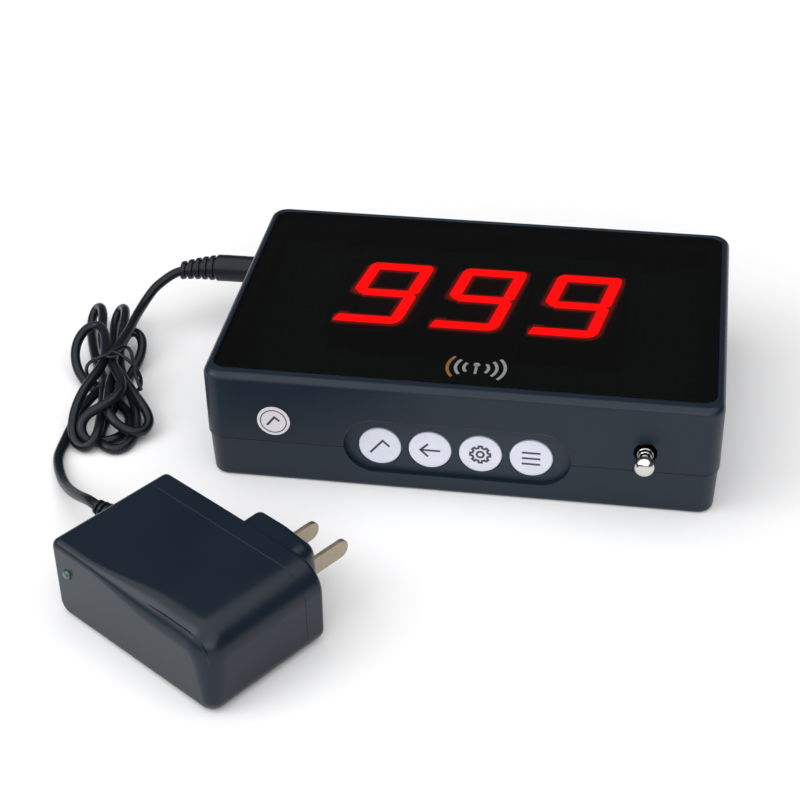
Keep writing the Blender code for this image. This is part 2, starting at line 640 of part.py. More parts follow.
def power_inlet(black, nickel):
    """Barrel jack: a block under the board with a round nose that fills the wall's hole."""
    place = facing(LEFT, JACK_Y, JACK_Z, "left")
    half = JACK_BODY_WIDTH / 2
    front = -WALL - CLEARANCE
    back = front - JACK_BODY_LENGTH
    bore = JACK_BORE_DIAMETER / 2
    jack = block("power_jack", (-half, -half, back), (BELOW_BOARD - JACK_Z, half, front), black, place)
    weld(jack, rod("add_nose", JACK_NOSE_DIAMETER / 2, front - 0.001, 0.0, None, place, 20))
    combine(jack, rod("cut_bore", bore, -JACK_BORE_DEPTH, EPS, None, place, 20))
    combine(jack, rod("cut_pin_hole", JACK_PIN_DIAMETER / 2 + CLEARANCE, back - EPS, 0.0,
                      None, place, 12))
    pin = JACK_PIN_DIAMETER / 2
    turned("power_jack_pin", [(0, back - 0.002), (pin, back - 0.002), (pin, -0.0022),
                              (pin * 0.4, -0.0015), (0, -0.0015)], nickel, place, 12)


def plug(rubber, nickel):
    """Moulded plug body with a ribbed tail, and its hollow barrel."""
    place = facing(PLUG_FACE, JACK_Y, JACK_Z, "left")
    radius = PLUG_BODY_DIAMETER / 2
    end = PLUG_END_DIAMETER / 2
    hole = CORD_DIAMETER / 2
    outline = [(0, 0), (radius * 0.9, 0), (radius, 0.0006), (radius, PLUG_BODY_LENGTH)]
    for rib in range(PLUG_RIB_COUNT):
        share = (rib + 1) / PLUG_RIB_COUNT
        groove = PLUG_BODY_LENGTH + rib * PLUG_RIB_PITCH
        rib_radius = radius + (end - radius) * share
        core = max(rib_radius - PLUG_RIB_DEPTH, hole + 0.0004)
        outline += [(core, groove + 0.0001), (core, groove + PLUG_RIB_PITCH * 0.4),
                    (rib_radius, groove + PLUG_RIB_PITCH * 0.45),
                    (rib_radius, groove + PLUG_RIB_PITCH)]
    outline.append((0, PLUG_LENGTH))
    turned("plug_body", outline, rubber, place, 16)
    pipe("plug_barrel", PLUG_BARREL_OUTER / 2, PLUG_BARREL_INNER / 2,
         -CLEARANCE - PLUG_BARREL_LENGTH, -CLEARANCE, nickel, place, 16)


# ---- lead ------------------------------------------------------------------------------

def catmull(points, spacing):
    """Points about every spacing along a smooth curve through the given ones."""
    ends = [2 * points[0] - points[1]] + points + [2 * points[-1] - points[-2]]
    smooth = [points[0]]
    for a, b, c, d in zip(ends, ends[1:], ends[2:], ends[3:]):
        steps = max(1, round((c - b).length / spacing))
        for step in range(1, steps + 1):
            t = step / steps
            smooth.append(0.5 * (2 * b + (c - a) * t + (2 * a - 5 * b + 4 * c - d) * t * t
                                 + (3 * b - a - 3 * c + d) * t ** 3))
    return smooth


def lead_tube(name, route, surface):
    """A plain tube along a route, as a bevelled curve with closed ends."""
    points = catmull(route, 2.2 * CORD_DIAMETER)
    data = bpy.data.curves.new(name, "CURVE")
    data.dimensions = "3D"
    data.bevel_depth = CORD_DIAMETER / 2
    data.bevel_resolution = 2
    data.use_fill_caps = True
    spline = data.splines.new("POLY")
    spline.points.add(len(points) - 1)
    for place, point in zip(spline.points, points):
        place.co = (*point, 1.0)
    data.materials.append(surface)
    made = bpy.data.objects.new(name, data)
    bpy.context.scene.collection.objects.link(made)
    return made


def hank(surface, wire_plastic):
    """The tied hank as one waisted slab, and the twist tie round its waist."""
    end_radius, half_waist = HANK_END_WIDTH / 2, HANK_WAIST_WIDTH / 2
    steps = 7
    outline = []
    for end in (1, -1):
        for step in range(steps + 1):
            angle = math.pi * step / steps
            outline.append((end * end_radius * math.cos(angle),
                            end * (HANK_REACH + end_radius * math.sin(angle))))
        outline.append((-end * half_waist, end * TIE_WIDTH))
        outline.append((-end * half_waist, -end * TIE_WIDTH))
    prism("cord_hank", outline, 0.0, HANK_HEIGHT, surface, HANK_MATRIX)
    inner_half = half_waist + CLEARANCE
    inner_top = HANK_HEIGHT + CLEARANCE
    outer_half = inner_half + TIE_THICKNESS
    tie = block("cord_tie", (-outer_half, -TIE_WIDTH / 2, 0.0),
                (outer_half, TIE_WIDTH / 2, inner_top + TIE_THICKNESS), wire_plastic, HANK_MATRIX)
    combine(tie, block("cut_tie", (-inner_half, -TIE_WIDTH, -EPS),
                       (inner_half, TIE_WIDTH, inner_top), None, HANK_MATRIX))


def lead(surface):
    """The lead's two free stretches, from the plug to the hank and on to the adaptor."""
    start = PLUG_END - Vector((CLEARANCE, 0, 0))
    lead_tube("cord_from_plug", [start + Vector(step) for step in LEAD_FROM_PLUG], surface)
    near_end = HANK_MATRIX @ Vector((0, -HANK_REACH, 0))
    along = ADAPTER_MATRIX.to_3x3() @ Vector((1, 0, 0))
    into = [RELIEF_END - along * CORD_DIAMETER / 2, RELIEF_END - along * CLEARANCE]
    lead_tube("cord_to_adapter",
              [near_end + Vector(step) for step in LEAD_TO_ADAPTER] + into, surface)


# ---- power supply ----------------------------------------------------------------------

def adapter_case(abs_plastic):
    """A box lying on its side, open towards the blades, and the cover that closes it."""
    upright = Matrix.Translation((ADAPTER_LENGTH / 2, 0, ADAPTER_HEIGHT / 2)) @ Matrix.Rotation(
        math.radians(-90), 4, "X")
    place = ADAPTER_MATRIX @ upright
    outline = rounded_outline(ADAPTER_LENGTH, ADAPTER_HEIGHT, ADAPTER_ROUND, 3)
    made, bottom_edges, _ = extrude_outline(outline, 0.0, ADAPTER_DEPTH)
    round_edges(made, bottom_edges, ADAPTER_ROUND)
    body = finish(made, "adapter_body", abs_plastic, place)
    inner = rounded_outline(ADAPTER_LENGTH - 2 * ADAPTER_WALL, ADAPTER_HEIGHT - 2 * ADAPTER_WALL,
                            0.001, 2)
    combine(body, prism("cut_adapter", inner, ADAPTER_WALL, ADAPTER_DEPTH + EPS, None, place))
    combine(body, rod("cut_led", LED_DIAMETER / 2 + CLEARANCE, -EPS, ADAPTER_WALL + EPS, None,
                      place @ Matrix.Translation((LED_U - ADAPTER_LENGTH / 2,
                                                  ADAPTER_HEIGHT / 2 - LED_Z, 0)), 12))
    made, _, top_edges = extrude_outline(outline, COVER_START, COVER_FACE)
    round_edges(made, top_edges, ADAPTER_ROUND * 0.7)
    cover = finish(made, "adapter_cover", abs_plastic, place)
    nose = rounded_outline(NOSE_WIDTH, ADAPTER_HEIGHT - 0.0006, ADAPTER_ROUND, 3,
                           (NOSE_START + NOSE_WIDTH / 2 - ADAPTER_LENGTH / 2, 0.0))
    weld(cover, prism("add_nose_block", nose, COVER_FACE - 0.0035, NOSE_FACE, None, place,
                      top_round=ADAPTER_ROUND))
    return cover


def blades(cover, nickel):
    for number, side in enumerate((-1, 1), 1):
        place = ADAPTER_MATRIX @ Matrix.Translation(
            (BLADE_CENTRE + side * BLADE_SPACING / 2, 0, BLADE_Z)) @ Matrix.Rotation(
                math.radians(-90), 4, "X")
        half_t, half_w = BLADE_THICKNESS / 2, BLADE_WIDTH / 2
        tip = NOSE_FACE + BLADE_OUT
        root = NOSE_FACE - NOSE_DEPTH - BLADE_IN
        made = bmesh.new()
        outline = [(-half_w, root), (half_w, root), (half_w, tip - 0.002), (half_w * 0.6, tip - 0.0004),
                   (0, tip), (-half_w * 0.6, tip - 0.0004), (-half_w, tip - 0.002)]
        face = made.faces.new([made.verts.new((-half_t, y, z)) for y, z in outline])
        raised = bmesh.ops.extrude_face_region(made, geom=[face], use_keep_orig=True)["geom"]
        bmesh.ops.translate(made, verts=[item for item in raised if isinstance(item, bmesh.types.BMVert)],
                            vec=(BLADE_THICKNESS, 0, 0))
        finish(made, f"plug_blade_{number}", nickel, place)
        slot = (half_t + CLEARANCE, half_w + CLEARANCE)
        combine(cover, block(f"cut_blade_{number}", (-slot[0], -slot[1], COVER_START - EPS),
                             (slot[0], slot[1], NOSE_FACE + EPS), None, place))


def adapter_fittings(rubber, green, laminate, tape, silver):
    """The ribbed strain relief, the lamp, and what is inside."""
    cord_end = ADAPTER_MATRIX @ facing(-CLEARANCE, RELIEF_V, BLADE_Z, "left")
    wide, narrow = RELIEF_DIAMETER / 2, RELIEF_END_DIAMETER / 2
    ribs = 5
    plain = 0.004
    pitch = (RELIEF_LENGTH - plain) / ribs
    outline = [(0, 0), (wide, 0), (wide, plain)]
    for rib in range(ribs):
        radius = wide + (narrow - wide) * (rib + 1) / ribs
        start = plain + rib * pitch
        outline += [(radius - 0.0006, start + 0.0001), (radius - 0.0006, start + pitch * 0.4),
                    (radius, start + pitch * 0.45), (radius, start + pitch)]
    outline.append((0, RELIEF_LENGTH))
    turned("adapter_strain_relief", outline, rubber, cord_end, 14)
    lamp = ADAPTER_MATRIX @ facing(LED_U, 0, LED_Z, "front")
    radius = LED_DIAMETER / 2
    turned("adapter_led", [(0, -LED_LENGTH), (radius, -LED_LENGTH), (radius, 0.0001),
                           (radius * 0.75, 0.0008), (0, 0.0012)], green, lamp, 12)
    board_front = LED_LENGTH + ADAPTER_BOARD_GAP
    block("adapter_board",
          (ADAPTER_WALL + ADAPTER_BOARD_GAP, board_front, ADAPTER_BOARD_TOP - BOARD_THICKNESS),
          (ADAPTER_LENGTH - ADAPTER_WALL - ADAPTER_BOARD_GAP, board_front + ADAPTER_BOARD_DEPTH,
           ADAPTER_BOARD_TOP), laminate, ADAPTER_MATRIX)
    block("adapter_transformer", (*TRANSFORMER_LOW, ADAPTER_BOARD_TOP + CLEARANCE),
          (*TRANSFORMER_HIGH, ADAPTER_PARTS_TOP), tape, ADAPTER_MATRIX)
    rod("adapter_capacitor", FILTER_RADIUS, ADAPTER_BOARD_TOP + CLEARANCE, ADAPTER_PARTS_TOP,
        silver, ADAPTER_MATRIX @ facing(*FILTER_PLACE, 0, "up"), 14)


def main():
    for old in list(bpy.data.objects):
        bpy.data.objects.remove(old)
    case_abs = material("case_abs", "#20262f", 0.32)
    adapter_abs = material("adapter_abs", "#1d242d", 0.38)
    acrylic = material("smoked_acrylic", "#141414", 0.12, alpha=0.5)
    segment_red = material("lit_segment", "#ff1414", 0.4)
    housing_black = material("housing_black", "#0e0e10", 0.5)
    laminate = material("green_laminate", "#1f5a36", 0.5)
    panel_black = material("keypad_panel", "#353b45", 0.45)
    key_white = material("key_white", "#d8d8e6", 0.4)
    plunger_grey = material("plunger", "#6b6b70", 0.5)
    paper = material("sticker_paper", "#dcd8de", 0.6)
    chrome = material("chrome", "#e6e6e6", 0.12, 1.0)
    nickel = material("nickel", "#b8ab98", 0.28, 1.0)
    steel = material("screw_steel", "#8a8a8c", 0.35, 1.0)
    rubber = material("soft_pvc", "#14181e", 0.5)
    silver = material("capacitor_sleeve", "#30343c", 0.4)
    tape = material("winding_tape", "#c9a53a", 0.5)
    green_lamp = material("green_lamp", "#1d4a3a", 0.2)
    epoxy = material("module_can", "#9a9ca0", 0.4, 1.0)

    pad, aerial_hole, jack_hole = wall_cutters()
    upper_shell(case_abs, (pad, aerial_hole, jack_hole))
    lower_shell(case_abs, (pad, aerial_hole, jack_hole))
    case_screws(steel)
    display_window(acrylic)
    digits(housing_black, segment_red)
    main_board(laminate)
    board_parts(housing_black, panel_black, silver, epoxy)
    keypad(panel_black, key_white, laminate, housing_black, plunger_grey)
    inspection_sticker(paper)
    aerial(chrome, housing_black)
    power_inlet(housing_black, nickel)
    plug(rubber, nickel)
    lead(rubber)
    hank(rubber, housing_black)
    cover = adapter_case(adapter_abs)
    blades(cover, nickel)
    adapter_fittings(rubber, green_lamp, laminate, tape, silver)


main()
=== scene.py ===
"""A wireless call display lying on its back, with its plug-in power supply.

Metres, +Z up. The window looks up, and the keys and the aerial are on the near wall.
The lead leaves the plug in the left wall, is tied in a hank, and ends in the adaptor.
"""

import math

import bmesh
import bpy
from mathutils import Matrix, Vector


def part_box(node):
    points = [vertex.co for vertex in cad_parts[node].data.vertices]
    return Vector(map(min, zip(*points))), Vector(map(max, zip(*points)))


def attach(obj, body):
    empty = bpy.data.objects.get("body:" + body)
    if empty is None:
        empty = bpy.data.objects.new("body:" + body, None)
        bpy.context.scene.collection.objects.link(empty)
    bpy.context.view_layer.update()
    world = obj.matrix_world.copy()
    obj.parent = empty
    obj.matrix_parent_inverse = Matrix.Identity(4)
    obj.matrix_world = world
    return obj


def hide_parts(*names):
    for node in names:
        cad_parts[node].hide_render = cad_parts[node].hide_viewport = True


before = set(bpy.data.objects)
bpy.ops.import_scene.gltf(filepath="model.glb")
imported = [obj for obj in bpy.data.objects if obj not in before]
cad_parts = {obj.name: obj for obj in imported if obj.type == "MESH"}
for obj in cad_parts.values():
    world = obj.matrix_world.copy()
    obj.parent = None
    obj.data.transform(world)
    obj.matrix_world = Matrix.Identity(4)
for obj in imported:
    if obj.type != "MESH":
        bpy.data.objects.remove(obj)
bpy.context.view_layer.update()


# ---- Table and studio ---------------------------------------------------------
# A sheet of white laminate that runs on past the view, lit the way small goods are:
# a broad even light overhead, a tall soft box to the left, and a faint fill in front.

def colour(code):
    """An sRGB hex colour as linear RGBA."""
    channels = [int(code[at:at + 2], 16) / 255 for at in (1, 3, 5)]
    return [c / 12.92 if c <= 0.04045 else ((c + 0.055) / 1.055) ** 2.4 for c in channels] + [1.0]


def add(tree, kind, inputs=None, **settings):
    """A node in a tree, with its settings; an input takes a value or another node's socket."""
    node = tree.nodes.new(kind)
    for name, value in settings.items():
        setattr(node, name, value)
    for name, value in (inputs or {}).items():
        if isinstance(value, bpy.types.NodeSocket):
            tree.links.new(value, node.inputs[name])
        else:
            node.inputs[name].default_value = value
    return node


def new_material(name):
    """An empty material and its node tree."""
    made = bpy.data.materials.new(name)
    made.use_nodes = True
    made.node_tree.nodes.clear()
    return made, made.node_tree


def finished(made, tree, inputs):
    """A material closed with the surface that its colour, gloss and relief give."""
    surface = add(tree, "ShaderNodeBsdfPrincipled", inputs)
    add(tree, "ShaderNodeOutputMaterial", {"Surface": surface.outputs["BSDF"]})
    return made


def white_laminate():
    """Pressed table laminate: an even matt white, with hardly any sheen."""
    made, tree = new_material("white_laminate")
    return finished(made, tree, {
        "Base Color": colour("#f4f4f5"), "Roughness": 0.95, "Specular IOR Level": 0.1})


TABLE_HALF = 40.0
table_mesh = bpy.data.meshes.new("table")
table_mesh.from_pydata([(x * TABLE_HALF, y * TABLE_HALF, 0)
                        for x, y in ((-1, -1), (1, -1), (1, 1), (-1, 1))], [], [(0, 1, 2, 3)])
table_mesh.materials.append(white_laminate())
table = bpy.data.objects.new("table", table_mesh)
bpy.context.scene.collection.objects.link(table)


def soft_box(name, place, target, width, height, power):
    """A rectangular soft box that faces a point."""
    light = bpy.data.lights.new(name, "AREA")
    light.shape, light.size, light.size_y, light.energy = "RECTANGLE", width, height, power
    lamp = bpy.data.objects.new(name, light)
    lamp.location = place
    lamp.rotation_euler = (Vector(target) - Vector(place)).to_track_quat("-Z", "Y").to_euler()
    bpy.context.scene.collection.objects.link(lamp)


overhead = bpy.data.objects.new("overhead", bpy.data.lights.new("overhead", "SUN"))
overhead.data.angle = math.radians(110)
overhead.data.energy = 3.0
overhead.rotation_euler = Vector((-0.1, -0.35, 1.0)).to_track_quat("Z", "Y").to_euler()
bpy.context.scene.collection.objects.link(overhead)
soft_box("left_box", (-1.3, -0.6, 1.0), (0, 0, 0), 0.9, 1.2, 7)
soft_box("front_fill", (0.5, -1.7, 0.7), (0, 0, 0), 1.4, 0.8, 5)

world = bpy.data.worlds.new("studio_walls")
bpy.context.scene.world = world
world.use_nodes = True
world.node_tree.nodes.clear()
walls = add(world.node_tree, "ShaderNodeBackground", {"Color": colour("#ffffff"), "Strength": 0.1})
add(world.node_tree, "ShaderNodeOutputWorld", {"Surface": walls.outputs["Background"]})
bpy.context.scene.view_settings.view_transform = "Standard"


# ---- Camera -------------------------------------------------------------------
# A long lens from over the near right corner, looking down onto the window.

VIEW_FROM = Vector((0.06198, -0.51304, 0.35981))
VIEW_BACK = Vector((0.14211, -0.80787, 0.57199)).normalized()
VIEW_ROLL = math.radians(-1.317)

view_side = Vector((0, 0, 1)).cross(VIEW_BACK).normalized()
view_turn = Matrix((view_side, VIEW_BACK.cross(view_side), VIEW_BACK)).transposed()
camera = bpy.data.objects.new("camera", bpy.data.cameras.new("camera"))
camera.data.lens = 79.77
camera.data.sensor_width = 36
camera.data.clip_start = 0.02
camera.matrix_world = (Matrix.Translation(VIEW_FROM) @ view_turn.to_4x4()
                       @ Matrix.Rotation(VIEW_ROLL, 4, "Z"))
bpy.context.scene.collection.objects.link(camera)
bpy.context.scene.camera = camera


# ---- Lead ---------------------------------------------------------------------
# A two-core lead in a round jacket of soft PVC, extruded smooth and a little shiny.
# It goes from the plug over the hank, through its loops, and out to the adaptor.

MM = 0.001
LEAD_DIAMETER = 3.5 * MM


def mottle(tree, grain, low, high, detail=2.0):
    """An uneven field of a grain in millimetres, and two shades mixed by it."""
    place = add(tree, "ShaderNodeTexCoord").outputs["Object"]
    field = add(tree, "ShaderNodeTexNoise", {
        "Vector": place, "Scale": 1 / (grain * MM), "Detail": detail}).outputs["Fac"]
    tint = add(tree, "ShaderNodeMix", {0: field, 6: colour(low), 7: colour(high)}, data_type="RGBA")
    return field, tint.outputs[2]


def skin_relief(tree, grain, strength, height):
    """The fine relief of a moulded skin, from its grain and height in millimetres."""
    place = add(tree, "ShaderNodeTexCoord").outputs["Object"]
    field = add(tree, "ShaderNodeTexNoise", {"Vector": place, "Scale": 1 / (grain * MM), "Detail": 2.0})
    return add(tree, "ShaderNodeBump", {"Height": field.outputs["Fac"], "Strength": strength,
                                        "Distance": height * MM}).outputs["Normal"]


def soft_pvc():
    """Plasticised PVC: near black with a blue cast, satin, with a faint uneven skin."""
    made, tree = new_material("soft_pvc")
    bloom, tint = mottle(tree, 9, "#070c13", "#0f1721", 3.0)
    gloss = add(tree, "ShaderNodeMapRange", {"Value": bloom, "To Min": 0.26, "To Max": 0.38})
    return finished(made, tree, {
        "Base Color": tint, "Roughness": gloss.outputs["Result"],
        "IOR": 1.52, "Specular IOR Level": 0.28, "Normal": skin_relief(tree, 0.9, 0.2, 0.1)})


pvc = soft_pvc()

plug_low, plug_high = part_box("plug_body")
PLUG_AXIS_Y = (plug_low.y + plug_high.y) / 2

# The plug's tail is bent a little by the lead, so the lead starts below its axis.
LEAD_FROM_PLUG = ((-100.0, 43.8, 20.1), (-107.0, 43.5, 20.0), (-113.0, 42.6, 19.6), (-117.4, 41.6, 19.1),
                  (-119.6, 40.4, 18.8), (-122.1, 38.3, 18.0),
                  (-124.1, 36.4, 16.9), (-126.4, 34.1, 15.6), (-128.0, 30.8, 14.0),
                  (-129.0, 26.9, 12.9), (-129.6, 21.4, 12.4), (-129.8, 14.9, 12.3),
                  (-129.4, 8.3, 12.3))

# The loops, as steps across and along the hank from its middle, and heights.
HANK_LOOPS = (
    # over the waist, round the inner loop at the near end, and back beneath it
    (-0.5, 4.0, 12.4), (0.8, -4.0, 12.4), (3.0, -10.5, 12.2), (3.6, -16.5, 12.0),
    (0.5, -22.0, 11.4), (-4.6, -24.8, 10.6), (-9.8, -26.4, 9.2), (-12.0, -30.0, 6.0),
    (-10.0, -33.2, 2.4), (-5.0, -33.5, 1.9), (0.6, -32.0, 1.9), (4.4, -27.5, 1.9),
    (5.6, -20.0, 1.9), (2.0, -11.0, 1.9), (-5.5, -3.0, 1.9), (-9.4, 2.0, 2.0),
    # the large left loop at the far end
    (-13.0, 8.5, 3.4), (-14.4, 15.5, 6.4), (-12.8, 22.6, 9.6), (-8.4, 27.4, 11.6),
    (-4.0, 26.2, 12.2), (-2.2, 19.0, 12.0), (-2.4, 11.0, 11.6), (-2.6, 3.0, 12.0),
    # down the left side, round the near left loop, and back to the middle
    (-4.6, -4.0, 12.2), (-9.2, -11.5, 11.4), (-13.0, -19.5, 8.8), (-14.8, -27.0, 5.2),
    (-14.2, -33.0, 2.4), (-10.2, -36.8, 1.9), (-6.0, -34.6, 5.2), (-5.0, -27.0, 5.6),
    (-4.0, -15.0, 5.2), (-3.6, -4.0, 5.2), (-4.6, 8.0, 2.0),
    # first of the two narrow loops at the far end
    (-7.4, 20.0, 1.9), (-8.6, 34.0, 1.9), (-8.8, 43.5, 3.2), (-6.6, 48.4, 6.4),
    (-3.6, 43.6, 9.6), (-3.6, 33.0, 9.4), (-4.6, 18.0, 8.8), (-1.0, 5.0, 8.7),
    # the wide loop at the near right
    (3.4, -4.0, 8.7), (6.2, -13.0, 8.2), (10.4, -20.5, 6.2), (12.6, -27.0, 4.2),
    (9.4, -32.6, 3.2), (3.2, -32.6, 5.4), (-2.4, -27.0, 8.8), (-2.0, -16.0, 8.8),
    (-1.0, -5.0, 8.6), (0.4, 8.0, 5.4),
    # second narrow loop at the far end
    (-0.6, 20.0, 3.0), (-0.4, 33.0, 1.9), (-0.2, 42.4, 2.4), (2.2, 47.4, 5.4),
    (5.0, 43.0, 8.8), (4.4, 32.0, 9.2), (2.2, 18.0, 7.2), (1.8, 5.0, 5.2),
    # the long loop at the near end
    (4.8, -6.0, 5.0), (7.0, -16.0, 4.6), (8.0, -26.0, 2.6), (5.4, -35.4, 1.9),
    (0.4, -39.4, 1.9), (-4.8, -36.0, 1.9), (-5.6, -27.5, 1.9), (-1.4, -15.5, 1.9),
    (2.0, -5.0, 1.9), (4.4, 4.0, 2.0),
    # the small right loop
    (7.6, 10.0, 3.0), (10.6, 17.0, 5.6), (10.4, 24.2, 8.0), (6.0, 27.2, 8.4),
    (2.4, 21.5, 5.4), (0.0, 12.0, 1.9), (-2.6, 2.0, 1.9), (-7.0, -7.0, 4.6),
    (-12.2, -15.0, 3.4), (-15.4, -23.0, 1.9))

LEAD_TO_ADAPTOR = ((-137.4, -45.0, 1.8), (-137.1, -52.3, 1.8), (-136.6, -57.0, 1.9),
                   (-133.8, -64.0, 2.3), (-128.4, -74.0, 4.2), (-120.9, -84.0, 8.8),
                   (-114.5, -90.5, 12.7), (-111.4, -93.5, 13.9))

hank_low, hank_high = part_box("cord_hank")
HANK_TURN = math.radians(17)
HANK_PLACE = (Matrix.Translation(((hank_low.x + hank_high.x) / 2 - 3.2 * MM,
                                  (hank_low.y + hank_high.y) / 2 + 1.5 * MM, 0))
              @ Matrix.Rotation(HANK_TURN, 4, "Z"))

ADAPTOR_TURN = math.radians(-34)
ADAPTOR_PLACE = (Matrix.Translation((plug_low.x + 5.5 * MM, PLUG_AXIS_Y - 172.6 * MM, 0))
                 @ Matrix.Rotation(ADAPTOR_TURN, 4, "Z"))
ADAPTOR_MIDDLE_Z = 14 * MM
RELIEF_LENGTH = 15.5 * MM
RELIEF_V = 29.5 * MM
TOUCH_GAP = 0.3 * MM
relief_end = ADAPTOR_PLACE @ Vector((-TOUCH_GAP - RELIEF_LENGTH, RELIEF_V, ADAPTOR_MIDDLE_Z))
lead_end = ADAPTOR_PLACE @ Vector((15 * MM, RELIEF_V, ADAPTOR_MIDDLE_Z))


def eased_line(points, spacing):
    """Points along the smooth line a soft lead takes when it is led past the given ones."""
    ends = [2 * points[0] - points[1], *points, 2 * points[-1] - points[-2]]
    line = []
    for a, b, c, d in zip(ends, ends[1:], ends[2:], ends[3:]):
        steps = max(2, round((c - b).length / spacing))
        for t in (step / steps for step in range(steps)):
            line.append((a * (1 - t) ** 3 + b * (3 * t ** 3 - 6 * t ** 2 + 4)
                         + c * (-3 * t ** 3 + 3 * t ** 2 + 3 * t + 1) + d * t ** 3) / 6)
    return line + [points[-1]]


def tube_curve(name, line, diameter, finish):
    """A curve object of one open spline along a line, with round walls and closed ends."""
    data = bpy.data.curves.new(name, "CURVE")
    data.dimensions = "3D"
    data.bevel_depth = diameter / 2
    data.bevel_resolution = 4
    data.use_fill_caps = True
    spline = data.splines.new("POLY")
    spline.points.add(len(line) - 1)
    for spot, point in zip(spline.points, line):
        spot.co = (*point, 1.0)
    data.materials.append(finish)
    made = bpy.data.objects.new(name, data)
    bpy.context.scene.collection.objects.link(made)
    return made


lead_line = eased_line([Vector(point) * MM for point in LEAD_FROM_PLUG]
                       + [HANK_PLACE @ (Vector(point) * MM) for point in HANK_LOOPS]
                       + [Vector(point) * MM for point in LEAD_TO_ADAPTOR]
                       + [relief_end, relief_end.lerp(lead_end, 0.5), lead_end], 1.2 * MM)
lead = tube_curve("lead", lead_line, LEAD_DIAMETER, pvc)
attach(lead, "power_supply")
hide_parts("cord_from_plug", "cord_hank", "cord_to_adapter")


# ---- Upper shell --------------------------------------------------------------
# The cover of the case: ABS, injection moulded in a spark-eroded tool, so it is satin.
# A shallow pocket in its face holds the window, and four posts take the case screws.

CASE_WIDTH, CASE_DEPTH, CASE_HEIGHT = 168.0, 113.0, 41.0
CASE_CORNER = 6.0
WALL = 2.4
SEAM_Z = 15.9
TOP_ROUND = 2.5
WINDOW_WIDTH, WINDOW_DEPTH, WINDOW_CORNER = 162.0, 104.5, 4.5
WINDOW_Y = 0.75
WINDOW_BOTTOM, WINDOW_TOP = 38.8, 40.8
ROOF_BOTTOM = 37.0
SCREW_PLACES = ((-76.0, -48.5), (76.0, -48.5), (-58.0, 48.5), (58.0, 48.5))
POST_RADIUS, PILOT_RADIUS, PILOT_TOP = 3.5, 1.6, 26.2
KEYPAD_X, KEYPAD_Z = -0.3, 16.7
KEYPAD_WIDTH, KEYPAD_HEIGHT = 74.2, 20.6
AERIAL_X, AERIAL_Z = 60.2, 23.2
JACK_Y, JACK_Z = 43.8, 20.1
FRONT = -CASE_DEPTH / 2
LEFT = -CASE_WIDTH / 2


def moulded_abs(name, low, high, base_gloss):
    """Moulded ABS: navy black and satin, with the fine grain of a spark-eroded tool."""
    made, tree = new_material(name)
    cloud, tint = mottle(tree, 26, low, high, 4.0)
    gloss = add(tree, "ShaderNodeMapRange", {"Value": cloud, "To Min": base_gloss - 0.03,
                                             "To Max": base_gloss + 0.04})
    # The tool's grain is 0.1 mm; it is drawn at 0.3 mm, the finest that shows.
    relief = skin_relief(tree, 0.3, 0.12, 0.03)
    return finished(made, tree, {
        "Base Color": tint, "Roughness": gloss.outputs["Result"],
        "IOR": 1.54, "Specular IOR Level": 0.3, "Normal": relief})


case_abs = moulded_abs("case_abs", "#0c1a28", "#12222f", 0.34)


def rounded_ring(width, depth, corner, z, middle=(0.0, 0.0), steps=8):
    """A ring of points round a rectangle with round corners, anticlockwise from above."""
    return [Vector((middle[0] + sx * (width / 2 - corner) + corner * math.cos(turn),
                    middle[1] + sy * (depth / 2 - corner) + corner * math.sin(turn), z))
            for quarter, (sx, sy) in enumerate(((1, 1), (-1, 1), (-1, -1), (1, -1)))
            for turn in (math.pi / 2 * (quarter + step / steps) for step in range(steps + 1))]


def lofted(rings, looped=False):
    """A mesh skinned over rings in millimetres; the ends are closed, or joined if looped."""
    skin = bmesh.new()
    rows = [[skin.verts.new(point * MM) for point in ring] for ring in rings]
    for near, far in zip(rows, rows[1:] + rows[:1] if looped else rows[1:]):
        for at in range(len(near)):
            after = (at + 1) % len(near)
            skin.faces.new((near[at], near[after], far[after], far[at]))
    if not looped:
        skin.faces.new(rows[0][::-1])
        skin.faces.new(rows[-1])
    bmesh.ops.remove_doubles(skin, verts=skin.verts, dist=1e-7)
    bmesh.ops.recalc_face_normals(skin, faces=skin.faces)
    mesh = bpy.data.meshes.new("skin")
    skin.to_mesh(mesh)
    skin.free()
    return mesh


def turned(profile, steps=32, looped=False):
    """A mesh turned on a lathe about Z from (radius, height) steps in millimetres."""
    return lofted([[Vector((radius * math.cos(turn), radius * math.sin(turn), height))
                    for turn in (2 * math.pi * step / steps for step in range(steps))]
                   for radius, height in profile], looped)


def placed(mesh, place):
    """The same mesh, moved to where it belongs."""
    mesh.transform(place)
    return mesh


def carved(solid, joined=(), cut=()):
    """A solid with others joined on, and then others cut out of it."""
    work = bpy.data.objects.new("work", solid)
    bpy.context.scene.collection.objects.link(work)
    tools = []
    for kind, mesh in [("UNION", mesh) for mesh in joined] + [("DIFFERENCE", mesh) for mesh in cut]:
        tool = bpy.data.objects.new("tool", mesh)
        bpy.context.scene.collection.objects.link(tool)
        step = work.modifiers.new("step", "BOOLEAN")
        step.operation, step.solver, step.object = kind, "EXACT", tool
        tools.append(tool)
    bpy.context.view_layer.update()
    result = bpy.data.meshes.new_from_object(work.evaluated_get(bpy.context.evaluated_depsgraph_get()))
    for spent in (work, *tools):
        bpy.data.objects.remove(spent)
    return result


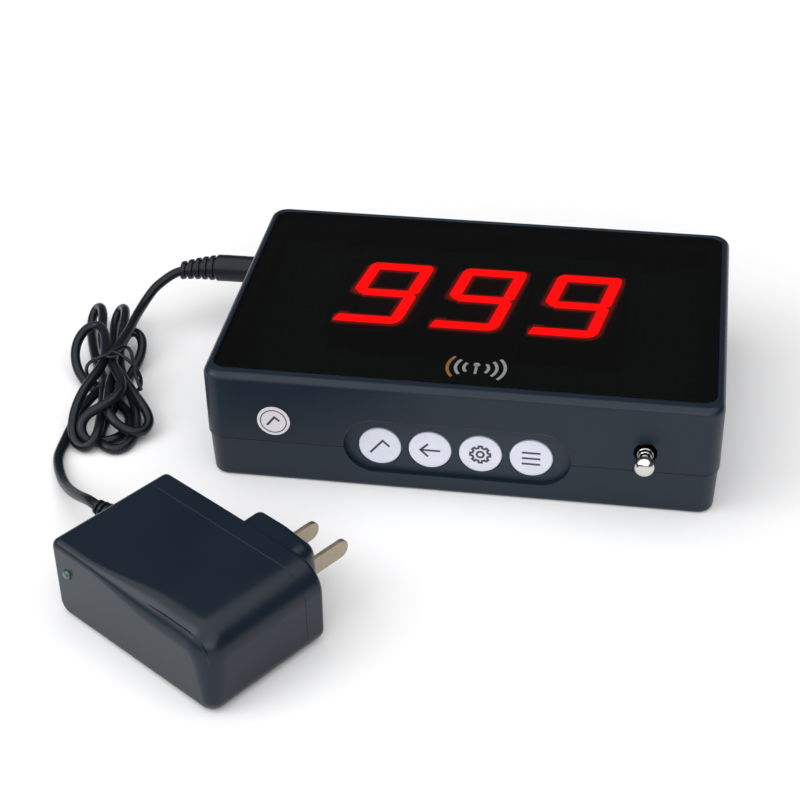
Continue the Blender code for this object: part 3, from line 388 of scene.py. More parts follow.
def fitted(name, mesh, finish, body, slot, *nodes):
    """Shades a mesh, gives it its finish, and fits it to its body in place of CAD nodes."""
    if finish:
        mesh.materials.clear()
        mesh.materials.append(finish)
    mesh.name = name
    mesh.shade_smooth()
    mesh.set_sharp_from_angle(angle=math.radians(34))
    made = bpy.data.objects.new(name, mesh)
    bpy.context.scene.collection.objects.link(made)
    even = made.modifiers.new("even_normals", "WEIGHTED_NORMAL")
    even.keep_sharp = True
    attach(made, body)
    if nodes:
        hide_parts(*nodes)
    return made


def facing_front(x, y, z):
    """Puts a mesh's +Z along -Y, out of the near wall, with its +Y upwards."""
    return Matrix.Translation((x * MM, y * MM, z * MM)) @ Matrix.Rotation(math.pi / 2, 4, "X")


def facing_left(x, y, z):
    """Puts a mesh's +Z along -X, out of the left wall."""
    return Matrix.Translation((x * MM, y * MM, z * MM)) @ Matrix.Rotation(-math.pi / 2, 4, "Y")


def at_screws(profile, steps):
    """The same turned post or bore at each of the four screws."""
    return [placed(turned(profile, steps), Matrix.Translation((x * MM, y * MM, 0)))
            for x, y in SCREW_PLACES]


def wall_openings():
    """What is cut out of the walls: the keypad's recess and the two round holes, with soft lips."""
    flare = ((1.6, 1.0), (0.5, 0.0), (0.15, -0.2), (0.0, -0.55), (0.0, -4.0))
    recess = [rounded_ring(KEYPAD_WIDTH + 2 * out, KEYPAD_HEIGHT + 2 * out, KEYPAD_HEIGHT / 2 + out, z,
                           steps=14) for out, z in flare]
    aerial_hole = [(3.6 + out, z) for out, z in flare]
    jack_hole = [(4.2 + out, z) for out, z in flare]
    return (placed(lofted(recess), facing_front(KEYPAD_X, FRONT, KEYPAD_Z)),
            placed(turned(aerial_hole, 40), facing_front(AERIAL_X, FRONT, AERIAL_Z)),
            placed(turned(jack_hole, 40), facing_left(LEFT, JACK_Y, JACK_Z)))


upper_rings = [rounded_ring(CASE_WIDTH - 0.4, CASE_DEPTH - 0.4, CASE_CORNER - 0.2, SEAM_Z + 0.15),
               rounded_ring(CASE_WIDTH, CASE_DEPTH, CASE_CORNER, SEAM_Z + 0.35)]
for step in range(9):
    turn = math.pi / 2 * step / 8
    inset = TOP_ROUND * (1 - math.cos(turn))
    upper_rings.append(rounded_ring(CASE_WIDTH - 2 * inset, CASE_DEPTH - 2 * inset, CASE_CORNER - inset,
                                    CASE_HEIGHT - TOP_ROUND * (1 - math.sin(turn))))
for width, depth, corner, z, y in (
        (WINDOW_WIDTH + 0.9, WINDOW_DEPTH + 0.9, 4.9, CASE_HEIGHT, WINDOW_Y),
        (WINDOW_WIDTH + 0.6, WINDOW_DEPTH + 0.6, 4.8, CASE_HEIGHT - 0.2, WINDOW_Y),
        (WINDOW_WIDTH + 0.6, WINDOW_DEPTH + 0.6, 4.8, WINDOW_BOTTOM - 0.3, WINDOW_Y),
        (WINDOW_WIDTH - 8, WINDOW_DEPTH - 8, 2.0, WINDOW_BOTTOM - 0.3, WINDOW_Y),
        (WINDOW_WIDTH - 8, WINDOW_DEPTH - 8, 2.0, ROOF_BOTTOM, WINDOW_Y),
        (CASE_WIDTH - 2 * WALL, CASE_DEPTH - 2 * WALL, CASE_CORNER - WALL, ROOF_BOTTOM, 0),
        (CASE_WIDTH - 2 * WALL, CASE_DEPTH - 2 * WALL, CASE_CORNER - WALL, SEAM_Z + 0.15, 0)):
    upper_rings.append(rounded_ring(width, depth, corner, z, (0, y)))
posts = at_screws([(POST_RADIUS, SEAM_Z + 0.15), (POST_RADIUS, ROOF_BOTTOM + 0.6)], 24)
pilots = at_screws([(PILOT_RADIUS, SEAM_Z - 1), (PILOT_RADIUS, PILOT_TOP)], 16)
fitted("upper_shell_moulding", carved(lofted(upper_rings, looped=True), posts, [*pilots, *wall_openings()]),
       case_abs, "case", "case_abs", "upper_shell")


# ---- Lower shell --------------------------------------------------------------
# The tray under the seam, moulded with the same ABS and drawn in towards its flat base.
# Its four posts are bored from below for the screws.

LOWER_INSET = 0.4
DRAFT = 0.6
BASE_ROUND = 1.5
FLOOR_THICKNESS = 2.2
FLOOR_POST_RADIUS = 4.5

lower_width, lower_depth = CASE_WIDTH - 2 * LOWER_INSET, CASE_DEPTH - 2 * LOWER_INSET
lower_rings = [rounded_ring(lower_width - 0.4, lower_depth - 0.4, CASE_CORNER - 0.2, SEAM_Z - 0.15),
               rounded_ring(lower_width, lower_depth, CASE_CORNER, SEAM_Z - 0.35)]
for step in range(6):
    turn = math.pi / 2 * step / 5
    inset = DRAFT + BASE_ROUND * (1 - math.cos(turn))
    lower_rings.append(rounded_ring(lower_width - 2 * inset, lower_depth - 2 * inset, CASE_CORNER - inset,
                                    BASE_ROUND * (1 - math.sin(turn))))
lower_rings = lower_rings[::-1] + [
    rounded_ring(CASE_WIDTH - 2 * WALL, CASE_DEPTH - 2 * WALL, CASE_CORNER - WALL, z)
    for z in (SEAM_Z - 0.15, FLOOR_THICKNESS)]
floor_posts = at_screws([(FLOOR_POST_RADIUS, FLOOR_THICKNESS - 0.6),
                         (FLOOR_POST_RADIUS, SEAM_Z - 0.15)], 24)
screw_bores = at_screws([(3.4, -1), (3.4, 0), (3.1, 0.3), (3.1, 3.5),
                         (PILOT_RADIUS, 3.5), (PILOT_RADIUS, 17)], 24)
fitted("lower_shell_moulding", carved(lofted(lower_rings), floor_posts, [*screw_bores, *wall_openings()]),
       case_abs, "case", "case_abs", "lower_shell")


# ---- Case screws --------------------------------------------------------------
# Four self-tapping screws with pan heads, of steel with a bright zinc coat.
# They go up from the base through the posts and pull the two shells together.

def zinc_plated_steel():
    """Zinc-plated steel: bright and bluish, with a slight cloudiness from the bath."""
    made, tree = new_material("zinc_plated_steel")
    place = add(tree, "ShaderNodeTexCoord").outputs["Object"]
    bath = add(tree, "ShaderNodeTexNoise", {"Vector": place, "Scale": 1 / (2 * MM), "Detail": 3.0})
    gloss = add(tree, "ShaderNodeMapRange", {"Value": bath.outputs["Fac"], "To Min": 0.24, "To Max": 0.42})
    return finished(made, tree, {
        "Base Color": colour("#b9bec4"), "Metallic": 1.0, "Roughness": gloss.outputs["Result"]})


def nodes_mesh(name, base, tree, values):
    """The plain mesh that a Geometry Nodes tree makes of a base mesh, with its inputs set."""
    work = bpy.data.objects.new(name, base)
    bpy.context.scene.collection.objects.link(work)
    step = work.modifiers.new(name, "NODES")
    step.node_group = tree
    sockets = {item.name: item.identifier for item in tree.interface.items_tree}
    for label, value in values.items():
        step[sockets[label]] = value
    bpy.context.view_layer.update()
    result = bpy.data.meshes.new_from_object(work.evaluated_get(bpy.context.evaluated_depsgraph_get()))
    bpy.data.objects.remove(work)
    return result


def geometry_tree(name, sizes):
    """A Geometry Nodes tree with named sizes, and its group input and output."""
    tree = bpy.data.node_groups.new(name, "GeometryNodeTree")
    tree.interface.new_socket("Geometry", in_out="INPUT", socket_type="NodeSocketGeometry")
    tree.interface.new_socket("Geometry", in_out="OUTPUT", socket_type="NodeSocketGeometry")
    for label in sizes:
        tree.interface.new_socket(label, in_out="INPUT", socket_type="NodeSocketFloat")
    return tree, add(tree, "NodeGroupInput"), add(tree, "NodeGroupOutput")


SCREW_SIZES = {"Head Radius": 2.75 * MM, "Head Height": 2.0 * MM, "Shank Radius": 1.3 * MM,
               "Shank Length": 21.8 * MM, "Slot Width": 0.9 * MM, "Slot Length": 3.2 * MM}
zinc = zinc_plated_steel()
screw_tree, screw_inputs, screw_result = geometry_tree("case_screw_set", SCREW_SIZES)
head = add(screw_tree, "GeometryNodeMeshCylinder", {
    "Radius": screw_inputs.outputs["Head Radius"], "Depth": screw_inputs.outputs["Head Height"],
    "Vertices": 32})
shank = add(screw_tree, "GeometryNodeMeshCylinder", {
    "Radius": screw_inputs.outputs["Shank Radius"], "Depth": screw_inputs.outputs["Shank Length"],
    "Vertices": 20})
lift = add(screw_tree, "ShaderNodeMath", {
    0: screw_inputs.outputs["Head Height"], 1: screw_inputs.outputs["Shank Length"]}, operation="ADD")
half = add(screw_tree, "ShaderNodeMath", {0: lift.outputs[0], 1: 0.49}, operation="MULTIPLY")
rise = add(screw_tree, "ShaderNodeCombineXYZ", {"Z": half.outputs[0]})
raised = add(screw_tree, "GeometryNodeTransform", {
    "Geometry": shank.outputs["Mesh"], "Translation": rise.outputs["Vector"]})
body_of_screw = add(screw_tree, "GeometryNodeMeshBoolean", {"Mesh 2": head.outputs["Mesh"]},
                    operation="UNION")
screw_tree.links.new(raised.outputs["Geometry"], body_of_screw.inputs["Mesh 2"])
slots = []
for turn in (0, math.pi / 2):
    size = add(screw_tree, "ShaderNodeCombineXYZ", {"X": screw_inputs.outputs["Slot Length"],
                                                    "Y": screw_inputs.outputs["Slot Width"],
                                                    "Z": screw_inputs.outputs["Slot Width"]})
    blade = add(screw_tree, "GeometryNodeMeshCube", {"Size": size.outputs["Vector"]})
    slots.append(add(screw_tree, "GeometryNodeTransform", {
        "Geometry": blade.outputs["Mesh"], "Translation": (0, 0, -1.0 * MM), "Rotation": (0, 0, turn)}))
crossed = body_of_screw
for slot in slots:
    cut = add(screw_tree, "GeometryNodeMeshBoolean", {"Mesh 1": crossed.outputs["Mesh"],
                                                      "Mesh 2": slot.outputs["Geometry"]},
              operation="DIFFERENCE")
    crossed = cut
points = add(screw_tree, "GeometryNodeMeshToPoints", {"Mesh": screw_inputs.outputs["Geometry"]})
spread = add(screw_tree, "GeometryNodeInstanceOnPoints", {
    "Points": points.outputs["Points"], "Instance": crossed.outputs["Mesh"]})
solid = add(screw_tree, "GeometryNodeRealizeInstances", {"Geometry": spread.outputs["Instances"]})
coated = add(screw_tree, "GeometryNodeSetMaterial", {
    "Geometry": solid.outputs["Geometry"], "Material": zinc})
screw_tree.links.new(coated.outputs["Geometry"], screw_result.inputs["Geometry"])

screw_points = bpy.data.meshes.new("screw_points")
screw_points.from_pydata([(x * MM, y * MM, 2.2 * MM) for x, y in SCREW_PLACES], [], [])
fitted("case_screws", nodes_mesh("case_screws", screw_points, screw_tree, SCREW_SIZES), None, "case",
       "screw_steel", "case_screw_1", "case_screw_2", "case_screw_3", "case_screw_4")


# ---- Digits -------------------------------------------------------------------
# Three seven-segment displays. Each is a black housing with a face plate, and the bars
# are windows of cast epoxy over red lamps. All show a nine, so one bar stays dark.

# The face plate round the bars carries a painted red glow, set in its emission.
DIGIT_PITCH = 33.3
DIGIT_ROW = (-0.2, 5.5)
DIGIT_SLANT = math.tan(math.radians(10))
DIGIT_HALF_WIDTH, DIGIT_HALF_HEIGHT = 11.2, 19.45
BAR = 3.8
BAR_TOP, PLATE_TOP, PLATE_BOTTOM = 38.2, 37.6, 37.1
PLATE_WIDTH, PLATE_DEPTH = 31, 44.5
JOINT = 0.2


def lit_epoxy():
    """Cast red epoxy with a lamp behind it: it glows evenly, so only its light is seen."""
    made, tree = new_material("lit_epoxy")
    _, tint = mottle(tree, 3, "#c81010", "#d81818")
    return finished(made, tree, {
        "Base Color": tint, "Roughness": 0.5, "Emission Color": (1.0, 0.0, 0.0, 1.0),
        "Emission Strength": 6.5})


def black_moulding(name, shade, gloss):
    """Filled black plastic for parts inside: matt, with a slight grey bloom."""
    made, tree = new_material(name)
    _, tint = mottle(tree, 4, shade, "#151517", 3.0)
    return finished(made, tree, {"Base Color": tint, "Roughness": gloss})


def face_plate_with_painted_glow():
    """Black plastic round the bars: a red glow that fades over 2.6 mm is painted into its emission."""
    made, tree = new_material("face_plate_with_painted_glow")
    place = add(tree, "ShaderNodeTexCoord").outputs["Object"]
    axes = add(tree, "ShaderNodeSeparateXYZ", {"Vector": place})
    across = add(tree, "ShaderNodeMath", {0: axes.outputs["X"], 1: DIGIT_ROW[0] * MM}, operation="SUBTRACT")
    along = add(tree, "ShaderNodeMath", {0: axes.outputs["Y"], 1: DIGIT_ROW[1] * MM}, operation="SUBTRACT")
    folded = add(tree, "ShaderNodeMath", {0: across.outputs[0], 1: DIGIT_PITCH / 2 * MM,
                                          2: -DIGIT_PITCH / 2 * MM}, operation="WRAP")
    lean = add(tree, "ShaderNodeMath", {0: along.outputs[0], 1: DIGIT_SLANT}, operation="MULTIPLY")
    straight = add(tree, "ShaderNodeMath", {0: folded.outputs[0], 1: lean.outputs[0]}, operation="SUBTRACT")
    spot = add(tree, "ShaderNodeCombineXYZ", {"X": straight.outputs[0], "Y": along.outputs[0]})
    nearest = None
    side, level = (DIGIT_HALF_WIDTH - BAR / 2) * MM, (DIGIT_HALF_HEIGHT - BAR / 2) * MM
    reach = side - 1.2 * MM
    for x, y, half_x, half_y in ((0, level, reach, 0), (0, 0, reach, 0), (-0.6 * MM, -level, side, 0),
                                 (-side, level / 2, 0, level / 2.3), (side, level / 2, 0, level / 2),
                                 (side, -level / 2, 0, level / 2.2)):
        offset = add(tree, "ShaderNodeVectorMath", {0: spot.outputs["Vector"], 1: (x, y, 0)},
                     operation="SUBTRACT")
        size = add(tree, "ShaderNodeVectorMath", {0: offset.outputs["Vector"]}, operation="ABSOLUTE")
        past = add(tree, "ShaderNodeVectorMath", {0: size.outputs["Vector"], 1: (half_x, half_y, 0)},
                   operation="SUBTRACT")
        outside = add(tree, "ShaderNodeVectorMath", {0: past.outputs["Vector"], 1: (0, 0, 0)},
                      operation="MAXIMUM")
        distance = add(tree, "ShaderNodeVectorMath", {0: outside.outputs["Vector"]},
                       operation="LENGTH").outputs["Value"]
        nearest = distance if nearest is None else add(
            tree, "ShaderNodeMath", {0: nearest, 1: distance}, operation="MINIMUM").outputs[0]
    # Painted glow: red light painted on the plate near the lit bars, fading over 2.4 mm from their edges.
    bloom = add(tree, "ShaderNodeMapRange", {"Value": nearest, "From Min": BAR / 2 * MM,
                                             "From Max": (BAR / 2 + 2.4) * MM, "To Min": 1.0, "To Max": 0.0},
                interpolation_type="SMOOTHERSTEP")
    apart = add(tree, "ShaderNodeMath", {0: across.outputs[0]}, operation="ABSOLUTE")
    in_row = add(tree, "ShaderNodeMath", {0: apart.outputs[0], 1: 1.5 * DIGIT_PITCH * MM},
                 operation="LESS_THAN")
    painted_glow_share = add(tree, "ShaderNodeMath", {0: bloom.outputs["Result"], 1: in_row.outputs[0]},
               operation="MULTIPLY")
    painted_glow_red = add(tree, "ShaderNodeMix", {0: painted_glow_share.outputs[0], 6: (0, 0, 0, 1), 7: (1.0, 0.03, 0.02, 1)},
                    data_type="RGBA")
    # The plate is no lamp: its emission is painted glow in place of the light the bars spill round them.
    return finished(made, tree, {
        "Base Color": colour("#060607"), "Roughness": 0.7, "Emission Color": painted_glow_red.outputs[2],
        "Emission Strength": 0.8})


epoxy_red = lit_epoxy()
display_black = black_moulding("display_black", "#050506", 0.7)
face_finish_with_painted_glow = face_plate_with_painted_glow()


def corner_arc(x, y, radius, first, last, steps=7):
    """Points on a round corner about a middle, between two angles in degrees."""
    return [(x + radius * math.cos(math.radians(first + (last - first) * step / steps)),
             y + radius * math.sin(math.radians(first + (last - first) * step / steps)))
            for step in range(steps + 1)]


def nine_bars():
    """The seven bars of one digit about its middle, upright, and which of them are lit."""
    w, h, b, g = DIGIT_HALF_WIDTH, DIGIT_HALF_HEIGHT, BAR, JOINT
    top = ([(-w + 1.3, h)] + corner_arc(w - 2.4, h - 2.4, 2.4, 90, 0)
           + [(w, h - b + g), (-w + b + 0.2, h - b + g)])
    top_left = [(-w + 1.3 - g * 1.6, h - 0.3), (-w + 0.3, h - 1.5), (-w, h - 2.6), (-w, 1.5),
                (-w + 1.2, 0.3 + g),
                (-w + b, 1.7 + g), (-w + b, h - b)]
    top_right = [(w, h - b - g), (w, 1.6), (w - 1.5, 0.3), (w - b, 2.1 + g), (w - b, h - b - g)]
    middle = [(-w + 1.5, -g), (-w + b, 1.7 - g), (w - b - 0.1, 1.8 - g), (w - 1.8, -0.1), (w - b - 0.1, -1.9),
              (-w + b - 0.4, -1.9)]
    low_right = [(w - 1.5, -0.4), (w, -1.7), (w, -h + b + g), (w - b, -h + b + g), (w - b, -2.2 - g)]
    bottom = ([(w - 0.1, -h + b - g), (-w + 0.5, -h + b - g), (-w - 0.2, -h)]
              + corner_arc(w - 3.9, -h + 3.9, 3.9, -90, -5))
    low_left = [(-w, -1.6), (-w, -h + b + 1.0), (-w + 1.2, -h + b + g), (-w + b, -h + b + 1.3),
                (-w + b, -2.0)]
    return [(top, True), (top_left, True), (top_right, True), (middle, True), (low_right, True),
            (bottom, True), (low_left, False)]


def joined(parts):
    """One mesh of several, each with the number of its material slot."""
    whole = bmesh.new()
    for mesh, slot in parts:
        first = len(whole.faces)
        whole.from_mesh(mesh)
        whole.faces.ensure_lookup_table()
        for face in whole.faces[first:]:
            face.material_index = slot
        bpy.data.meshes.remove(mesh)
    mesh = bpy.data.meshes.new("joined")
    whole.to_mesh(mesh)
    whole.free()
    return mesh


for number in (1, 2, 3):
    x = DIGIT_ROW[0] + (number - 2) * DIGIT_PITCH
    parts = [(lofted([rounded_ring(PLATE_WIDTH, PLATE_DEPTH, 0.5, z, (x, DIGIT_ROW[1]), 2)
                      for z in (PLATE_BOTTOM, PLATE_TOP)]), 0)]
    for outline, lit in nine_bars():
        rings = [[Vector((x + px + py * DIGIT_SLANT, DIGIT_ROW[1] + py, z)) for px, py in outline]
                 for z in (PLATE_TOP - 0.05, BAR_TOP)]
        parts.append((lofted(rings), 1 if lit else 0))
    face_plate = joined(parts)
    face_plate.materials.append(face_finish_with_painted_glow)
    face_plate.materials.append(epoxy_red)
    fitted(f"digit_{number}_face", face_plate, None, "case", "lit_segment", f"digit_{number}_segments")


# ---- Display window -----------------------------------------------------------
# A sheet of smoke-grey cast acrylic, cut and edge-polished, laid into the pocket.
# It looks black until light comes through it.

def smoked_acrylic():
    """Smoked acrylic: nearly black and polished; light is dimmed at each of its faces."""
    made, tree = new_material("smoked_acrylic")
    streak, tint = mottle(tree, 30, "#080808", "#0b0b0b")
    gloss = add(tree, "ShaderNodeMapRange", {"Value": streak, "To Min": 0.10, "To Max": 0.16})
    return finished(made, tree, {
        "Base Color": tint, "Roughness": gloss.outputs["Result"], "IOR": 1.49,
        "Specular IOR Level": 0.16, "Alpha": 0.6})


acrylic = smoked_acrylic()
window_rings = [rounded_ring(WINDOW_WIDTH - 2 * inset, WINDOW_DEPTH - 2 * inset, WINDOW_CORNER - inset, z,
                             (0, WINDOW_Y), 10)
                for inset, z in ((0.0, WINDOW_BOTTOM), (0.0, WINDOW_TOP - 0.25), (0.08, WINDOW_TOP - 0.08),
                                 (0.25, WINDOW_TOP))]
fitted("window_sheet", lofted(window_rings), acrylic, "case", "smoked_acrylic", "display_window")


# ---- Printed reception mark -----------------------------------------------------
# A plain sign for radio reception, screen printed on the window in grey and amber ink.
# It is a generic sign: a mast between waves.

MARK_PLACE = (4.2, -41.4)
MARK_LINE = 1.05


def screen_ink(name, shade):
    """Screen-printed ink: flat and dry, a little uneven where the mesh of the screen held it."""
    made, tree = new_material(name)
    place = add(tree, "ShaderNodeTexCoord").outputs["Object"]
    cloth = add(tree, "ShaderNodeTexNoise", {"Vector": place, "Scale": 1 / (0.5 * MM)})
    cover = add(tree, "ShaderNodeMapRange", {"Value": cloth.outputs["Fac"], "To Min": 0.5, "To Max": 0.68})
    return finished(made, tree, {"Base Color": colour(shade),
                                                     "Roughness": cover.outputs["Result"]})


grey_ink, amber_ink, dark_ink = (screen_ink(*pair) for pair in (
    ("grey_ink", "#808284"), ("amber_ink", "#7d5222"), ("dark_ink", "#3c3c48")))


def stroke(points, width, low, high, closed=False):
    """A flat printed line of even width through points in millimetres, as a thin solid."""
    path = [Vector((x, y)) for x, y in points]
    rings = []
    for at, here in enumerate(path):
        before = path[at - 1] if at or closed else here * 2 - path[1]
        after = path[(at + 1) % len(path)] if at + 1 < len(path) or closed else here * 2 - path[-2]
        a, b = (here - before).normalized(), (after - here).normalized()
        middle = (a + b).normalized()
        side = Vector((-middle.y, middle.x)) * width / 2 / max(0.5, middle.dot(a))
        rings.append([Vector((*(here - side), low)), Vector((*(here + side), low)),
                      Vector((*(here + side), high)), Vector((*(here - side), high))])
    return lofted(rings, looped=closed)


ink_low, ink_high = WINDOW_TOP - 0.02, WINDOW_TOP + 0.06
mark_parts = [(stroke([(MARK_PLACE[0], MARK_PLACE[1] - 3.4), (MARK_PLACE[0], MARK_PLACE[1] + 1.2)], 0.9,
                      ink_low, ink_high), 0),
              (stroke(corner_arc(MARK_PLACE[0], MARK_PLACE[1] + 1.9, 0.55, 0, 330, 15), MARK_LINE,
                      ink_low, ink_high, closed=True), 0)]
for side, first in ((0, -38), (180, 142)):
    for order, radius in enumerate((4.0, 6.7, 9.4)):
        amber = side == 180 and order == 2
        mark_parts.append((stroke(corner_arc(*MARK_PLACE, radius, first, first + 76, 12), MARK_LINE,
                                  ink_low, ink_high), 1 if amber else 0))
reception_mark = joined(mark_parts)
reception_mark.materials.append(grey_ink)
reception_mark.materials.append(amber_ink)
fitted("reception_mark", reception_mark, None, "case", "smoked_acrylic")


# ---- Keypad -------------------------------------------------------------------
# A panel with four round keys stands behind the opening. The keys are moulded in white
# ABS with their signs printed on, and a flange behind the panel keeps each one in.

KEY_Z = 15.7
PANEL_FACE = -53.8
PANEL_THICKNESS = 1.5
PANEL_WIDTH, PANEL_HEIGHT = 80.2, 26.6
KEY_RADIUS = 7.0
KEY_X = {"enter": -25.81, "move": -9.27, "set": 7.27, "function": 23.81}


def white_key_abs():
    """White ABS: a cool white, satin, with the faint dulling that fingers give."""
    made, tree = new_material("white_key_abs")
    wear, tint = mottle(tree, 5, "#d2d3e2", "#dedfec", 3.0)
    gloss = add(tree, "ShaderNodeMapRange", {"Value": wear, "To Min": 0.35, "To Max": 0.5})
    return finished(made, tree, {
        "Base Color": tint, "Roughness": gloss.outputs["Result"], "IOR": 1.53})


panel_abs = moulded_abs("keypad_abs", "#1a2632", "#212d39", 0.42)
panel_rings = [rounded_ring(PANEL_WIDTH - 2 * inset, PANEL_HEIGHT - 2 * inset, PANEL_HEIGHT / 2 - inset, z,
                            steps=14)
               for inset, z in ((0, -PANEL_THICKNESS), (0, -0.15), (0.15, 0))]
key_holes = [placed(turned([(KEY_RADIUS + 0.3, -3), (KEY_RADIUS + 0.3, -0.15), (KEY_RADIUS + 0.45, 0),
                            (KEY_RADIUS + 1.45, 1)], 48),
                    Matrix.Translation(((x - KEYPAD_X) * MM, (KEY_Z - KEYPAD_Z) * MM, 0)))
             for x in KEY_X.values()]
fitted("keypad_face", placed(carved(lofted(panel_rings), (), key_holes),
                             facing_front(KEYPAD_X, PANEL_FACE, KEYPAD_Z)),
       panel_abs, "case", "keypad_panel", "keypad_panel")

KEY_TOP = 0.3
SIGN_LINE = 0.72
key_white = white_key_abs()
key_profile = [(0, -2.6), (8.0, -2.6), (8.0, -1.8), (KEY_RADIUS, -1.8), (KEY_RADIUS, 0.0),
               (KEY_RADIUS - 0.1, 0.16), (KEY_RADIUS - 0.32, 0.26), (KEY_RADIUS - 0.7, KEY_TOP), (0, KEY_TOP)]
gear = []
for tooth in range(8):
    for part, radius in ((-9, 3.3), (9, 3.3), (13, 2.6), (32, 2.6)):
        turn = math.radians(tooth * 45 + part)
        gear.append((radius * math.cos(turn), radius * math.sin(turn)))
KEY_SIGNS = {
    "enter": [([(-3.2, -0.2), (-1.0, -2.4), (3.2, 2.6)], False)],
    "move": [([(-3.4, 0), (2.9, 0)], False), ([(0.6, 2.5), (3.1, 0), (0.6, -2.5)], False)],
    "set": [(gear, True), (corner_arc(0, 0, 1.15, 0, 337, 15), True)],
    "function": [([(-3.0, y), (3.0, y)], False) for y in (-2.2, 0, 2.2)]}
for name, x in KEY_X.items():
    parts = [(turned(key_profile, 56), 0)]
    for line, closed in KEY_SIGNS[name]:
        parts.append((stroke([(-px, -py) for px, py in line], SIGN_LINE, KEY_TOP - 0.02, KEY_TOP + 0.05,
                             closed), 1))
    key = placed(joined(parts), facing_front(x, PANEL_FACE, KEY_Z))
    key.materials.append(key_white)
    key.materials.append(dark_ink)
    fitted(f"{name}_key_cap", key, None, f"{name}_key", "key_white", f"{name}_key")


# ---- Inspection sticker -------------------------------------------------------
# A round paper sticker that shows the case has been checked, stuck to the near wall.
# Its face is coated and white, with a printed ring and a tick.

def coated_paper():
    """Coated paper: a warm white, matt, with short faint fibres."""
    made, tree = new_material("coated_paper")
    _, tint = mottle(tree, 0.6, "#d2cdd3", "#e4e0e6", 4.0)
    return finished(made, tree, {"Base Color": tint, "Roughness": 0.62})


sticker_low, sticker_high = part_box("inspection_sticker")
STICKER_X = (sticker_low.x + sticker_high.x) / 2 / MM
STICKER_Z = (sticker_low.z + sticker_high.z) / 2 / MM
sticker = joined([
    (turned([(0, 0.02), (5.4, 0.02), (5.5, 0.16), (5.42, 0.5), (0, 0.5)], 48), 0),
    (stroke(corner_arc(0, 0, 4.3, 0, 352, 44), 0.35, 0.49, 0.54, closed=True), 1),
    (stroke([(2.0, 0.3), (0.4, 1.7), (-2.2, -1.6)], 0.75, 0.49, 0.54), 1)])
placed(sticker, facing_front(STICKER_X, FRONT, STICKER_Z))
sticker.materials.append(coated_paper())
sticker.materials.append(dark_ink)
fitted("check_sticker", sticker, None, "case", "sticker_paper", "inspection_sticker")


# ---- Telescopic aerial --------------------------------------------------------
# Drawn brass tubes with a thin bright chrome plate, each a sliding fit in the last.
# The mouth of each tube is rolled in, and a turned mushroom tip closes the rod.

AERIAL_LENGTH = 90.0
AERIAL_STEP = 1.1
AERIAL_WALL = 0.3
AERIAL_TUBES = (("aerial_outer_tube", "case", 2.7), ("aerial_section_2", "aerial_second", 2.15),
                ("aerial_section_3", "aerial_third", 1.6))


def bright_chrome():
    """Chrome plate: mirror bright, with the hair lines that sliding leaves along it."""
    made, tree = new_material("bright_chrome")
    place = add(tree, "ShaderNodeTexCoord").outputs["Object"]
    drawn = add(tree, "ShaderNodeMapping", {
        "Vector": place, "Scale": (1 / (0.2 * MM), 1 / (8 * MM), 1 / (0.2 * MM))})
    lines = add(tree, "ShaderNodeTexNoise", {"Vector": drawn.outputs["Vector"], "Scale": 1.0, "Detail": 2.0})
    gloss = add(tree, "ShaderNodeMapRange", {"Value": lines.outputs["Fac"], "To Min": 0.06, "To Max": 0.2})
    return finished(made, tree, {
        "Base Color": colour("#d4d2ce"), "Metallic": 1.0, "Roughness": gloss.outputs["Result"]})


chrome = bright_chrome()
for order, (node, body, outer) in enumerate(AERIAL_TUBES):
    mouth = AERIAL_STEP * (order + 1)
    inner = outer - AERIAL_WALL
    tube = turned([(inner, mouth - AERIAL_LENGTH), (outer, mouth - AERIAL_LENGTH), (outer, mouth - 0.35),
                   (outer - 0.08, mouth - 0.12), (outer - 0.2, mouth), (inner, mouth - 0.04)],
                  40, looped=True)
    fitted(f"{node}_drawn", placed(tube, facing_front(AERIAL_X, FRONT, AERIAL_Z)), chrome, body,
           "aerial_chrome", node)

rod_end = AERIAL_STEP * 4
tip_profile = [(0, rod_end - AERIAL_LENGTH), (1.05, rod_end - AERIAL_LENGTH), (1.05, rod_end - 0.3),
               (1.2, rod_end), (2.0, rod_end + 0.25), (2.9, rod_end + 0.85), (3.3, rod_end + 1.7),
               (3.4, rod_end + 2.5), (3.3, rod_end + 3.3), (2.95, rod_end + 4.0), (2.3, rod_end + 4.55),
               (1.4, rod_end + 4.88), (0.6, rod_end + 4.98), (0, rod_end + 5.0)]
fitted("aerial_rod_turned", placed(turned(tip_profile, 48), facing_front(AERIAL_X, FRONT, AERIAL_Z)), chrome,
       "aerial_rod", "aerial_chrome", "aerial_rod_and_tip")


# ---- Plug ---------------------------------------------------------------------
# A barrel plug: PVC moulded over the lead's end, with a ribbed tail that lets it bend,
# and a turned, nickel-plated barrel that goes into the jack.

PLUG_FACE = -84.3
PLUG_PLAIN = 20.0
PLUG_RADIUS, TAIL_RADIUS = 5.0, 3.45
BEND_START = 16.0
PLUG_RIBS, PLUG_RIB_PITCH = 5, 2.7
TAIL_BEND = (-2.1, -1.1)


def nickel_plate(name, shade, gloss):
    """Nickel plate on brass: a warm grey metal, softly polished, with faint wiping marks."""
    made, tree = new_material(name)
    wiped, tint = mottle(tree, 1.6, shade, "#b9ad9c", 4.0)
    rough = add(tree, "ShaderNodeMapRange", {"Value": wiped, "To Min": gloss, "To Max": gloss + 0.15})
    return finished(made, tree, {
        "Base Color": tint, "Metallic": 1.0, "Roughness": rough.outputs["Result"]})


nickel = nickel_plate("nickel_plate", "#a39786", 0.28)

